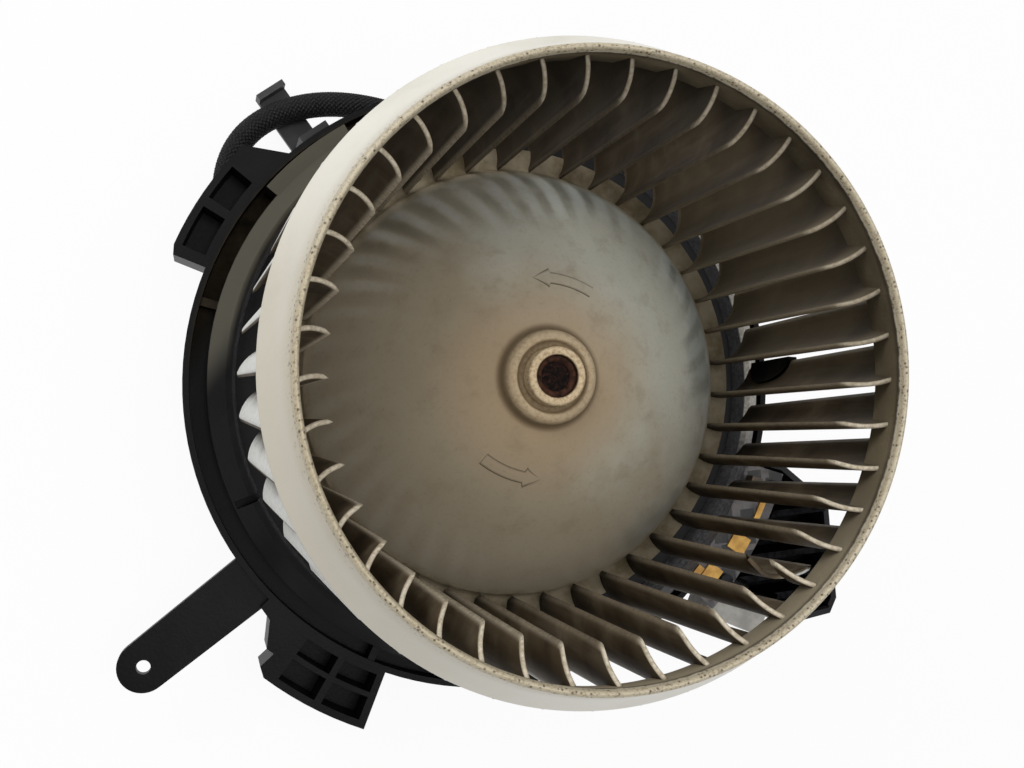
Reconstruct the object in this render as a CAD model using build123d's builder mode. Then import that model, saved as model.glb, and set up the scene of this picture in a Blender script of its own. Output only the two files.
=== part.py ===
"""Car cabin blower: bladed wheel, brushed motor, mounting flange and speed regulator.

Millimetres. The origin is the middle of the motor cup's rear face, on the wheel's axis, and +Z points
out of the wheel's mouth. Angles are in degrees, measured from +X towards +Y.
"""
from build123d import *
from math import cos, radians, sin, tan
import os

os.makedirs("parts", exist_ok=True)

# Wheel
wheel_radius = 81.9             # outer edge of the blades at their far end
blade_count = 41
blade_lead_angle = 89.03        # radial line from which the first blade is drawn
blade_thickness = 1.2
blade_arc_radius = 11.58        # camber of a blade
blade_arc_inset = 10.73         # camber centre at the far end, sideways from the radial line
blade_arc_depth = 12.43         # camber centre at the far end, in from the wheel's radius
blade_arc_drift = 0.86          # how far the centre moves sideways along the blade
blade_arc_draft = 2.31          # how far the centre moves inwards along the blade
blade_end_angle = 82.6          # end of the arc at the far end
blade_end_turn = 8.0            # how much further it reaches at the mouth
blade_depth = 17.1              # outer to inner edge at the far end
blade_flare = 0.8
blade_length = 83.0
blade_slant = 8.0               # height of the slanted mouth ends
blade_clearance = 7.7           # blades above the flange's step
clip_on_blade = 30              # blade that carries the balance clip
balance_clip_wall = 0.9
balance_clip_length = 25.0
balance_clip_depth = 7.5
balance_clip_rise = 15.5        # clip's middle above the blades' far end
ring_skirt_inset = 1.9
ring_skirt_drop = 1.5
ring_flare = 8.5                # skirt's radius less the mouth's
ring_lap = 0.7
ring_lip_rise = 6.4
ring_wall = 1.3
plate_lap = 7.1                 # plate's width under the blades
plate_rise = 1.5
plate_thickness = 1.6
dome_edge_inset = 1.1
dome_edge_rise = 5.5
dome_wall = 2.2
dome_rise = 10.0                # dome above the lower end of the hub's tube
dome_bulge = 3.5
hub_collar_wall = 2.55
hub_collar_rise = 4.0
hub_boss_width = 5.1
hub_boss_rise = 5.0
hub_tube_wall = 4.55
hub_groove = 1.6
hub_rib_count = 6
hub_rib_length = 23.0
hub_rib_thickness = 1.6

# Shaft, sleeve and bearings
shaft_radius = 4.0
shaft_foot = 0.4
shaft_inset = 3.5               # shaft's end below the hub's collar
shaft_clearance = 0.02
sleeve_wall = 1.45
sleeve_drop = 1.5               # sleeve end below the collar's face
bearing_wall = 5.2
bearing_length = 6.7
washer_wall = 1.2
washer_thickness = 1.4
end_play = 0.2
retainer_thickness = 0.6
retainer_width = 3.6

# Motor
can_radius = 31.0
can_wall = 1.6
can_length = 63.2
can_corner = 2.0
can_boss_wall = 1.8
can_boss_lid = 1.5
can_boss_gap = 3.4              # hub above the can's boss
can_bead_width = 3.0
can_bead_height = 1.5
end_plate_thickness = 1.8
end_plate_hole_count = 6
magnet_thickness = 5.2
magnet_half_angle = 62.0
magnet_rise = 22.7              # magnets above the end plate
magnet_length = 37.0
core_inset = 4.5                # iron stack inside the magnets' ends
air_gap = 1.4
slot_count = 12
slot_share = 0.1875             # slot's radius against the distance of its middle from the axis
slot_depth = 6.8
slot_neck = 1.8
coil_bore_gap = 3.0
coil_inset = 3.2
coil_height = 4.2
coil_slot_clearance = 0.15
commutator_wall = 5.5
commutator_rise = 2.1           # commutator above the rear bearing
commutator_length = 12.0
commutator_bar_count = 12
commutator_slit = 0.6
brush_gap = 0.3
brush_width = 6.0
brush_height = 5.0
brush_angle = 58.0
spring_room = 5.5
holder_wall = 0.8
holder_inset = 3.4
card_rise = 8.7                 # brush card above the end plate
card_thickness = 2.0
card_gap = 2.1
choke_radius = 2.6
choke_length = 10.0
choke_inset = 9.4

# Mounting flange
cup_gap = 4.0                   # motor can to cup, filled by the dampers
cup_wall = 3.5
cup_floor = 3.0
cup_lip = 3.5
vent_count = 5
floor_height = 36.5
sheet = 2.5
wheel_gap = 2.9                 # wheel's radius to the step's
step_rise = 6.8
step_wall = 2.2
shoulder_width = 5.2
shoulder_rise = 1.5
rim_width = 7.2
rim_wall = 1.9
rim_drop = 5.5
rim_depth = 11.0
channel_rise = 3.5              # channel above the rim's lower edge
under_rib_count = 12
under_rib_thickness = 2.0
lug_drop = 4.0
lug_cell_floor = 3.5
upper_lug_reach = 11.1
lower_lug_reach = 18.4
arm_thickness = 3.2
arm_drop = 2.5
arm_hole_radius = 2.1
arm_end_wall = 5.6
arm_reach = 40.1                # rim to the middle of the arm's hole
arm_angle = -146.6
damper_count = 4
damper_half_angle = 13.0
damper_height = 16.5
damper_ring_width = 8.0
damper_ring_thickness = 2.0
clamp_thickness = 2.5
clamp_ear_offset = 5.5
clamp_ear_wall = 2.6
clamp_count = 3
screw_radius = 1.6
screw_head_wall = 1.6
screw_head_height = 2.2
screw_length = 7.5
screw_clearance = 0.2

# Braided lead and its clip
lead_radius = 4.0
lead_angle = 148.0              # direction in which the lead leaves the cup
lead_lug_gap = 0.6              # lead below the upper lug
lead_end_offset = 5.8
lead_clearance = 0.3
lead_entry_angle = -35.0        # direction at which it enters the regulator
grommet_wall = 2.2
grommet_collar_wall = 1.8
grommet_collar_width = 2.0
clip_angle = 121.3
clip_width = 10.0
clip_length = 23.1              # rim to the clip's outer face
clip_thickness = 2.0
clip_lip = 5.0

# Regulator
tray_wall = 2.0
tray_gap = 1.1                  # between the flange's rim and the tray
tray_entry_drop = 2.0
shelf_thickness = 2.5
board_lift = 2.0                # board above the tray's edge
board_thickness = 1.6
board_lap = 5.7                 # board inside the flange's rim
board_width = 14.5
board_start = -21.5
board_end = -50.0
board_hole_clearance = 0.2
post_wall = 1.0
post_inset = 3.0
post_angles = (-24.5, -44.5)
board_screw_radius = 1.0
board_screw_head_wall = 1.2
board_screw_head_height = 1.6
board_screw_length = 8.0
transistor_angles = (-29.5, -39.8)
transistor_width = 10.0
transistor_thickness = 3.8
transistor_drop = 3.0
transistor_leg = 0.8
capacitor_radius = 2.5
capacitor_length = 11.0
capacitor_angle = -34.8
strip_thickness = 1.0
sink_gap = 1.5
sink_base = 3.0
sink_fin_pitch = 7.0
sink_fin_thickness = 2.2
sink_clearance = 0.5
socket_length = 22.0
socket_depth = 7.5
socket_lift = 1.0
socket_wall = 1.2
socket_height = 15.0
socket_start = 4.0
pin_count = 4
pin_width = 2.4
pin_thickness = 0.8

# Radii that follow from these
sleeve_radius = shaft_radius + sleeve_wall
hub_collar_radius = sleeve_radius + hub_collar_wall
hub_boss_radius = hub_collar_radius + hub_boss_width
hub_tube_radius = sleeve_radius + hub_tube_wall
hub_rib_reach = hub_tube_radius + hub_rib_length
blade_arc_reach = wheel_radius - blade_arc_depth
blade_inner_far = wheel_radius - blade_depth
blade_inner_near = blade_inner_far - blade_flare
ring_skirt_radius = wheel_radius - ring_skirt_inset
ring_mouth_radius = ring_skirt_radius - ring_flare
blade_tip_radius = ring_mouth_radius + ring_lap
plate_radius = blade_inner_far + plate_lap
dome_edge_radius = blade_inner_far - dome_edge_inset
dome_middle_radius = (hub_boss_radius + dome_edge_radius) / 2 + dome_bulge
bearing_radius = shaft_radius + bearing_wall
washer_radius = shaft_radius + washer_wall
can_inner = can_radius - can_wall
can_boss_radius = bearing_radius + can_boss_wall
can_bead_radius = can_radius + can_bead_width
core_radius = can_inner - magnet_thickness - air_gap
slot_reach = core_radius - slot_depth
slot_radius = slot_share * slot_reach
coil_inner = shaft_radius + coil_bore_gap
coil_outer = core_radius - coil_inset
commutator_radius = shaft_radius + commutator_wall
card_hole_radius = commutator_radius + card_gap
holder_end = can_inner - holder_inset
brush_length = holder_end - commutator_radius - spring_room
choke_reach = can_inner - choke_inset
cup_radius = can_radius + cup_gap
cup_outer = cup_radius + cup_wall
clamp_ear_reach = cup_outer + clamp_ear_offset
clamp_ear_radius = screw_radius + clamp_ear_wall
screw_head_radius = screw_radius + screw_head_wall
step_radius = wheel_radius + wheel_gap
shoulder_radius = step_radius + shoulder_width
rim_radius = shoulder_radius + rim_width
arm_length = rim_radius + arm_reach
arm_end_radius = arm_hole_radius + arm_end_wall
lead_end_reach = rim_radius + lead_end_offset
grommet_radius = lead_radius + grommet_wall
grommet_collar = grommet_radius + grommet_collar_wall
clip_reach = rim_radius + clip_length
tray_radius = rim_radius + tray_gap
board_inner = rim_radius - board_lap
board_outer = board_inner + board_width
board_hole_radius = board_screw_radius + board_hole_clearance
board_screw_head = board_screw_radius + board_screw_head_wall
post_radius = board_hole_radius + post_wall
post_reach = board_outer - post_inset
sink_inner = board_outer + sink_gap

# Heights that follow from these
end_plate_bottom = cup_floor + damper_ring_thickness
can_bottom = end_plate_bottom + end_plate_thickness
can_top = can_bottom + can_length
can_lid_bottom = can_top - can_wall
rear_bearing_top = can_bottom + bearing_length
front_bearing_bottom = can_lid_bottom
magnet_bottom = can_bottom + magnet_rise
magnet_top = magnet_bottom + magnet_length
core_bottom = magnet_bottom + core_inset
core_top = magnet_top - core_inset
commutator_bottom = rear_bearing_top + commutator_rise
card_bottom = can_bottom + card_rise
card_top = card_bottom + card_thickness
floor_bottom = floor_height - sheet
cup_top = floor_height + cup_lip
bead_bottom = cup_top - can_bead_height
damper_bottom = bead_bottom - damper_height
step_height = floor_height + step_rise
shoulder_height = floor_height + shoulder_rise
rim_height = floor_height - rim_drop
rim_bottom = rim_height - rim_depth
channel_height = rim_bottom + channel_rise
lug_bottom = rim_bottom - lug_drop
arm_top = rim_height - arm_drop
blade_far_height = step_height + blade_clearance
blade_corner_height = blade_far_height + blade_length
blade_tip_height = blade_corner_height + blade_slant
ring_lip_height = blade_tip_height + ring_lip_rise
ring_skirt_height = blade_corner_height - ring_skirt_drop
hub_tube_bottom = front_bearing_bottom + bearing_length + can_boss_lid + can_boss_gap
dome_top_height = hub_tube_bottom + dome_rise
hub_boss_height = dome_top_height + hub_boss_rise
hub_collar_height = hub_boss_height + hub_collar_rise
shaft_bottom = end_plate_bottom + shaft_foot
shaft_top = hub_collar_height - shaft_inset
lead_height = rim_bottom - lead_radius
lead_low_height = lug_bottom - lead_radius - lead_lug_gap
tray_bottom = lead_height - lead_radius - tray_entry_drop
tray_floor_top = tray_bottom + tray_wall
tray_top = rim_height
board_height = tray_top + board_lift
board_top = board_height + board_thickness
transistor_bottom = tray_floor_top + sink_base + 1
transistor_top = board_height - transistor_drop
socket_top = tray_top + socket_lift


def polar(radius, angle):
    """Point at a radius and an angle about the wheel's axis."""
    return (radius * cos(radians(angle)), radius * sin(radians(angle)))


def ring_sector(inner, outer, start, end):
    """Flat ring sector between two radii and two angles."""
    with BuildSketch() as sector:
        with BuildLine():
            CenterArc((0, 0), inner, start, end - start)
            CenterArc((0, 0), outer, start, end - start)
            Line(polar(inner, start), polar(outer, start))
            Line(polar(inner, end), polar(outer, end))
        make_face()
    return sector.sketch


def ring(inner, outer):
    """Flat ring between two radii."""
    with BuildSketch() as flat:
        Circle(outer)
        Circle(inner, mode=Mode.SUBTRACT)
    return flat.sketch


def save(part, name):
    """Label a finished piece and write it under its own name."""
    part.label = name
    export_step(part, f"parts/{name}.step")
    print(name, round(part.volume, 1))


# The wheel, one moulding in three nodes: its mouth ring, its dome and its blades
def blade_place(height):
    """Centre of a blade's arc and the arc's end angle at a height."""
    way = (height - blade_far_height) / blade_length
    centre = (
        -blade_arc_inset - blade_arc_drift * way,
        blade_arc_reach - blade_arc_draft * way,
    )
    return centre, blade_end_angle + blade_end_turn * way


def blade_section(height, start, wall=0.0, lap=0.0):
    """Curved strip of one blade as a sketch at a height, from a start angle; a wall and a lap widen it."""
    centre, end = blade_place(height)
    half = blade_thickness / 2 + wall
    with BuildSketch(Plane.XY.offset(height).rotated((0, 0, blade_lead_angle - 90))) as strip:
        with BuildLine():
            hollow = CenterArc(centre, blade_arc_radius - half, start, end + lap - start)
            crown = CenterArc(centre, blade_arc_radius + half, start, end + lap - start)
            Line(hollow @ 0, crown @ 0)
            Line(hollow @ 1, crown @ 1)
        make_face()
    return strip.sketch


skirt_foot = ring_skirt_radius - ring_wall
plate_top = blade_far_height + plate_rise
plate_bottom = plate_top - plate_thickness
dome_edge_height = plate_top + dome_edge_rise
dome_middle_height = dome_top_height - 0.3625 * (dome_top_height - dome_edge_height)

with BuildPart() as wheel_ring:
    with BuildSketch(Plane.XZ):
        with BuildLine():
            Polyline(
                (ring_skirt_radius, ring_skirt_height),
                (skirt_foot, ring_skirt_height - 0.4),
                (blade_tip_radius + 2.4, blade_tip_height + 0.6),
                (blade_tip_radius + 3.0, ring_skirt_height - 0.5),
                (blade_tip_radius + 1.9, ring_skirt_height - 0.5),
                (ring_mouth_radius, ring_lip_height - 2.6),
                (ring_mouth_radius + 0.3, ring_lip_height - 0.5),
                (ring_mouth_radius + 0.9, ring_lip_height),
                (ring_mouth_radius + 1.7, ring_lip_height - 0.5),
            )
            ThreePointArc(
                (ring_mouth_radius + 1.7, ring_lip_height - 0.5),
                (ring_mouth_radius + 4.2, ring_lip_height - 8.0),
                (ring_skirt_radius, ring_skirt_height),
            )
        make_face()
    revolve(axis=Axis.Z)
save(wheel_ring.part, "wheel_ring")

with BuildPart() as wheel_dome:
    with BuildSketch(Plane.XZ):
        with BuildLine():
            Polyline(
                (dome_edge_radius, dome_edge_height),
                (dome_edge_radius + 0.8, plate_top + 1.2),
                (dome_edge_radius + 1.8, plate_top),
                (plate_radius, plate_top),
                (plate_radius, plate_bottom),
                (dome_edge_radius, plate_bottom),
                (dome_edge_radius - 1.4, plate_bottom + 1.4),
                (dome_edge_radius - dome_wall, dome_edge_height - 2),
            )
            ThreePointArc(
                (dome_edge_radius - dome_wall, dome_edge_height - 2),
                (dome_middle_radius - 1.5, dome_middle_height - 2.1),
                (hub_boss_radius, dome_top_height - dome_wall - 0.3),
            )
            Polyline(
                (hub_boss_radius, dome_top_height - dome_wall - 0.3),
                (hub_tube_radius, hub_tube_bottom + 3),
                (hub_tube_radius, hub_tube_bottom),
                (sleeve_radius, hub_tube_bottom),
                (sleeve_radius, hub_collar_height),
                (hub_collar_radius - 0.6, hub_collar_height),
                (hub_collar_radius, hub_collar_height - 0.6),
                (hub_collar_radius, hub_boss_height - 1.6),
                (hub_collar_radius + hub_groove, hub_boss_height - 1.6),
                (hub_collar_radius + hub_groove + 0.6, hub_boss_height),
                (hub_boss_radius - 1.4, hub_boss_height - 0.3),
                (hub_boss_radius - 0.3, hub_boss_height - 1.6),
                (hub_boss_radius, dome_top_height),
            )
            ThreePointArc(
                (hub_boss_radius, dome_top_height),
                (dome_middle_radius, dome_middle_height),
                (dome_edge_radius, dome_edge_height),
            )
        make_face()
    revolve(axis=Axis.Z)
    with PolarLocations(0, hub_rib_count):
        with BuildSketch(Plane.XZ):
            Polygon(
                (hub_tube_radius - 1, hub_tube_bottom + 0.5),
                (hub_rib_reach - 3, hub_tube_bottom + 0.5),
                (hub_rib_reach, hub_tube_bottom + 2.4),
                (hub_boss_radius + 6, dome_top_height - 3.4),
                (hub_tube_radius - 1, dome_top_height - 1.5),
                align=None,
            )
    extrude(amount=hub_rib_thickness / 2, both=True)
save(wheel_dome.part, "wheel_dome")

with BuildPart() as blade:
    loft([blade_section(height, -36) for height in (blade_far_height, ring_lip_height)])
    with BuildSketch(Plane.XZ):
        with BuildLine():
            Polyline(
                (blade_inner_far, blade_far_height),
                (blade_inner_near, blade_corner_height),
                (blade_tip_radius, blade_tip_height),
                (blade_tip_radius + 0.7, blade_tip_height + 2.0),
                (blade_tip_radius + 2.4, blade_tip_height),
                (skirt_foot + 0.4, ring_skirt_height + 0.6),
                (ring_skirt_radius, ring_skirt_height),
                (wheel_radius, blade_far_height),
                close=True,
            )
        make_face()
    revolve(axis=Axis.Z, mode=Mode.INTERSECT)
    add(wheel_ring.part, mode=Mode.SUBTRACT)
    add(wheel_dome.part, mode=Mode.SUBTRACT)

with BuildPart() as wheel_blades:
    with PolarLocations(0, blade_count):
        add(blade.part)
save(wheel_blades.part, "wheel_blades")

# Balance clip: a half oval of spring steel folded over one blade's outer edge
clip_height = blade_far_height + balance_clip_rise
clip_centre, clip_end = blade_place(clip_height)
clip_low = clip_height - balance_clip_length / 2 - 1
clip_high = clip_height + balance_clip_length / 2 + 1
clip_edge = Vector(*clip_centre, clip_height) + Vector(*polar(blade_arc_radius, clip_end))
clip_plane = Plane(
    origin=clip_edge.rotate(Axis.Z, blade_lead_angle - 90),
    x_dir=(0, 0, 1),
    z_dir=(*polar(1, clip_end - 25 + blade_lead_angle - 90), 0),
)
with BuildPart() as folded_clip:
    loft([blade_section(height, 20, balance_clip_wall, 5) for height in (clip_low, clip_high)])
    with BuildSketch(clip_plane):
        Ellipse(balance_clip_length / 2, balance_clip_depth)
    extrude(amount=8, both=True, mode=Mode.INTERSECT)
    add(blade.part, mode=Mode.SUBTRACT)
with BuildPart() as balance_clip:
    with Locations(Rotation(0, 0, clip_on_blade * 360 / blade_count)):
        add(folded_clip.part)
save(balance_clip.part, "balance_clip")

with BuildPart() as hub_sleeve:
    with BuildSketch(Plane.XY.offset(hub_tube_bottom)):
        add(ring(shaft_radius, sleeve_radius))
    extrude(amount=hub_collar_height - sleeve_drop - hub_tube_bottom)
    chamfer(hub_sleeve.edges().group_by(Axis.Z)[-1].sort_by(SortBy.RADIUS)[0], 0.5)
save(hub_sleeve.part, "hub_sleeve")

# The turning half of the motor
with BuildPart() as rotor_shaft:
    with BuildSketch(Plane.XY.offset(shaft_bottom)):
        Circle(shaft_radius)
    extrude(amount=shaft_top - shaft_bottom)
    chamfer(rotor_shaft.edges().filter_by(GeomType.CIRCLE), 0.6)
save(rotor_shaft.part, "rotor_shaft")

with BuildPart() as armature_core:
    with BuildSketch(Plane.XY.offset(core_bottom)):
        add(ring(shaft_radius, core_radius))
        with PolarLocations(slot_reach, slot_count):
            Circle(slot_radius, mode=Mode.SUBTRACT)
        with PolarLocations(core_radius - 2, slot_count):
            Rectangle(8, slot_neck, mode=Mode.SUBTRACT)
    extrude(amount=core_top - core_bottom)
save(armature_core.part, "armature_core")

with BuildPart() as armature_windings:
    for end_height in (core_bottom - coil_height, core_top):
        with BuildSketch(Plane.XY.offset(end_height)):
            add(ring(coil_inner, coil_outer))
        extrude(amount=coil_height)
    coil_rims = armature_windings.edges().filter_by(GeomType.CIRCLE)
    fillet(coil_rims.group_by(Axis.Z)[0] + coil_rims.group_by(Axis.Z)[-1], 1.6)
    with BuildSketch(Plane.XY.offset(core_bottom)):
        with PolarLocations(slot_reach, slot_count):
            Circle(slot_radius - coil_slot_clearance)
    extrude(amount=core_top - core_bottom)
save(armature_windings.part, "armature_windings")

with BuildPart() as commutator:
    with BuildSketch(Plane.XY.offset(commutator_bottom)):
        add(ring(shaft_radius, commutator_radius))
        with PolarLocations(commutator_radius, commutator_bar_count):
            Rectangle(2.4, commutator_slit, mode=Mode.SUBTRACT)
    extrude(amount=commutator_length)
save(commutator.part, "commutator")

for washer_name, washer_bottom in (
    ("front_thrust_washer", front_bearing_bottom - end_play - washer_thickness),
    ("rear_thrust_washer", rear_bearing_top + end_play),
):
    with BuildPart() as thrust_washer:
        with BuildSketch(Plane.XY.offset(washer_bottom)):
            add(ring(shaft_radius, washer_radius))
        extrude(amount=washer_thickness)
    save(thrust_washer.part, washer_name)

# The standing half of the motor
with BuildPart() as motor_can:
    with BuildSketch(Plane.XZ):
        with BuildLine():
            Polyline(
                (can_radius, can_bottom),
                (can_radius, bead_bottom),
                (can_bead_radius, bead_bottom),
                (can_bead_radius, cup_top),
                (can_radius, cup_top),
                (can_radius, can_top - can_corner),
                (can_radius - can_corner, can_top),
                (can_boss_radius, can_top),
                (can_boss_radius, front_bearing_bottom + bearing_length + can_boss_lid),
                (washer_radius, front_bearing_bottom + bearing_length + can_boss_lid),
                (washer_radius, front_bearing_bottom + bearing_length),
                (bearing_radius, front_bearing_bottom + bearing_length),
                (bearing_radius, can_lid_bottom),
                (can_inner, can_lid_bottom),
                (can_inner, can_bottom),
                close=True,
            )
        make_face()
    revolve(axis=Axis.Z)
    with BuildSketch(Plane.XY.offset(can_bottom)):
        with Locations(Rotation(0, 0, lead_angle)):
            with Locations((can_radius, 0)):
                Rectangle(8, 2 * lead_radius + 1.6)
    extrude(amount=lead_height + lead_radius + 0.8 - can_bottom, mode=Mode.SUBTRACT)
save(motor_can.part, "motor_can")

with BuildPart() as motor_end_plate:
    with BuildSketch(Plane.XY.offset(end_plate_bottom)):
        Circle(can_radius)
        Circle(washer_radius, mode=Mode.SUBTRACT)
        with PolarLocations(can_radius - 10, end_plate_hole_count):
            Circle(3, mode=Mode.SUBTRACT)
    extrude(amount=end_plate_thickness)
    with BuildSketch(Plane.XY.offset(can_bottom)):
        add(ring(bearing_radius, can_boss_radius))
    extrude(amount=bearing_length)
save(motor_end_plate.part, "motor_end_plate")

for bearing_name, bearing_bottom in (
    ("front_bearing", front_bearing_bottom),
    ("rear_bearing", can_bottom),
):
    with BuildPart() as bearing:
        with BuildSketch(Plane.XY.offset(bearing_bottom)):
            add(ring(shaft_radius + shaft_clearance, bearing_radius))
        extrude(amount=bearing_length)
    save(bearing.part, bearing_name)

with BuildPart() as bearing_retainers:
    for retainer_bottom in (front_bearing_bottom - retainer_thickness, rear_bearing_top):
        with BuildSketch(Plane.XY.offset(retainer_bottom)):
            add(ring(washer_radius + 0.6, washer_radius + 0.6 + retainer_width + 1.2))
            with PolarLocations(washer_radius + 0.6, 6):
                Rectangle(3.0, 1.2, mode=Mode.SUBTRACT)
        extrude(amount=retainer_thickness)
save(bearing_retainers.part, "bearing_retainers")

with BuildPart() as field_magnets:
    with BuildSketch(Plane.XY.offset(magnet_bottom)):
        for pole in (0, 180):
            add(ring_sector(can_inner - magnet_thickness, can_inner,
                            pole - magnet_half_angle, pole + magnet_half_angle))
    extrude(amount=magnet_top - magnet_bottom)
save(field_magnets.part, "field_magnets")

with BuildPart() as magnet_clips:
    with BuildSketch(Plane.XY.offset(magnet_bottom + 4)):
        for gap_angle in (90, 270):
            reach = 90 - magnet_half_angle
            add(ring_sector(can_inner - 0.8, can_inner, gap_angle - reach, gap_angle + reach))
            for side in (-1, 1):
                edge = gap_angle + side * reach
                add(ring_sector(can_inner - 3.5, can_inner, *sorted((edge, edge - side * 2.2))))
    extrude(amount=magnet_top - magnet_bottom - 8)
save(magnet_clips.part, "magnet_clips")

with BuildPart() as brush_card:
    with BuildSketch(Plane.XY.offset(card_bottom)):
        add(ring(card_hole_radius, can_inner - 0.2))
        with PolarLocations(can_inner - 7.4, 2, start_angle=lead_angle + 45):
            Circle(4, mode=Mode.SUBTRACT)
    extrude(amount=card_thickness)
    block_bottom = min(card_bottom, lead_height - lead_radius - 0.4)
    block_top = max(card_top, lead_height + lead_radius + 0.4)
    with BuildSketch(Plane.XY.offset(block_bottom)):
        with Locations(Rotation(0, 0, lead_angle)):
            with Locations(((can_inner + cup_radius) / 2 - 1.2, 0)):
                Rectangle(cup_radius - can_inner + 2, 2 * lead_radius + 0.8)
    extrude(amount=block_top - block_bottom)
save(brush_card.part, "brush_card")

holder_start = commutator_radius + 2
holder_middle = (holder_start + holder_end) / 2
brush_bottom = card_top + holder_wall
with BuildPart() as brush_holders:
    with BuildSketch(Plane.XY.offset(card_top)):
        with PolarLocations(holder_middle, 2, start_angle=brush_angle):
            Rectangle(holder_end - holder_start, brush_width + 2 * holder_wall + 0.2)
    extrude(amount=brush_height + 2 * holder_wall + 0.1)
    with BuildSketch(Plane.XY.offset(brush_bottom)):
        with PolarLocations(holder_middle - holder_wall, 2, start_angle=brush_angle):
            Rectangle(holder_end - holder_start, brush_width + 0.2)
    extrude(amount=brush_height + 0.1, mode=Mode.SUBTRACT)
save(brush_holders.part, "brush_holders")

with BuildPart() as carbon_brushes:
    with BuildSketch(Plane.XY.offset(brush_bottom)):
        with PolarLocations(commutator_radius + brush_length / 2, 2, start_angle=brush_angle):
            Rectangle(brush_length, brush_width)
        Circle(commutator_radius + brush_gap, mode=Mode.SUBTRACT)
    extrude(amount=brush_height)
save(carbon_brushes.part, "carbon_brushes")

spring_start = commutator_radius + brush_length
spring_end = holder_end - holder_wall
with BuildPart() as brush_springs:
    for side_angle in (brush_angle, brush_angle + 180):
        with BuildSketch(Plane.XY.offset(brush_bottom + 1).rotated((0, 0, side_angle))):
            with BuildLine():
                Polyline(
                    (spring_start + 0.3, -2.2),
                    (spring_start + 0.3, 2.2),
                    (spring_start + 2.0, -2.2),
                    (spring_start + 3.2, 2.2),
                    (spring_end - 0.3, -2.2),
                    (spring_end - 0.3, 2.2),
                )
                offset(amount=0.25, side=Side.BOTH)
            make_face()
        extrude(amount=brush_height - 2)
save(brush_springs.part, "brush_springs")

with BuildPart() as choke_coils:
    for side in (1, -1):
        axis_plane = Plane(
            origin=(*polar(side * choke_reach, lead_angle), card_top + choke_radius),
            z_dir=(*polar(1, lead_angle + 90), 0),
        )
        with BuildSketch(axis_plane.offset(-choke_length / 2)):
            Circle(choke_radius)
        extrude(amount=choke_length)
save(choke_coils.part, "choke_coils")

# corners of the regulator tray: reach beyond the rim, and angle
tray_corners = []
for corner_reach, corner_angle in (
    (-8.0036, -19.6538),
    (10.0241, -19.6179),
    (30.4323, -23.5523),
    (47.0064, -35.7732),
    (47.6119, -38.0728),
    (35.8038, -43.172),
    (1.9564, -48.2705),
    (-12.3472, -45.0),
):
    tray_corners.append(polar(rim_radius + corner_reach, corner_angle))


def tray_outline(inner):
    """Outline of the regulator tray outside a radius about the wheel's axis."""
    with BuildSketch() as outline:
        Polygon(*tray_corners, align=None)
        Circle(inner, mode=Mode.SUBTRACT)
    return outline.sketch


# Route of the braided lead: out of the cup, under the upper lug, round outside the rim, back under the
# floor and through the rim's wall into the regulator
lead_route = [
    Vector(*polar(cup_radius - 0.2, lead_angle), lead_height),
    Vector(*polar(60, lead_angle), lead_height),
    Vector(*polar(rim_radius - 2.6154, 149.5037), lead_low_height),
    Vector(*polar(rim_radius + 21.6359, 130.3241), lead_low_height),
    Vector(*polar(rim_radius + 8.5793, 108.1780), lead_height - 1),
    Vector(*polar(rim_radius - 24.7246, 65.9813), lead_height),
    Vector(*polar(rim_radius - 24.7039, 22.0362), lead_height),
    Vector(*polar(56, lead_entry_angle), lead_height),
    Vector(*polar(lead_end_reach, lead_entry_angle), lead_height),
]


def bend_radii(route):
    """Largest even bend at each inner point of a route: 0.45 of the shorter run over tan(half the turn)."""
    radii = []
    for before, corner, after in zip(route, route[1:], route[2:]):
        turn = (corner - before).get_angle(after - corner)
        shorter = min((corner - before).length, (after - corner).length)
        radii.append(0.45 * shorter / tan(radians(turn / 2)))
    return radii


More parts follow.
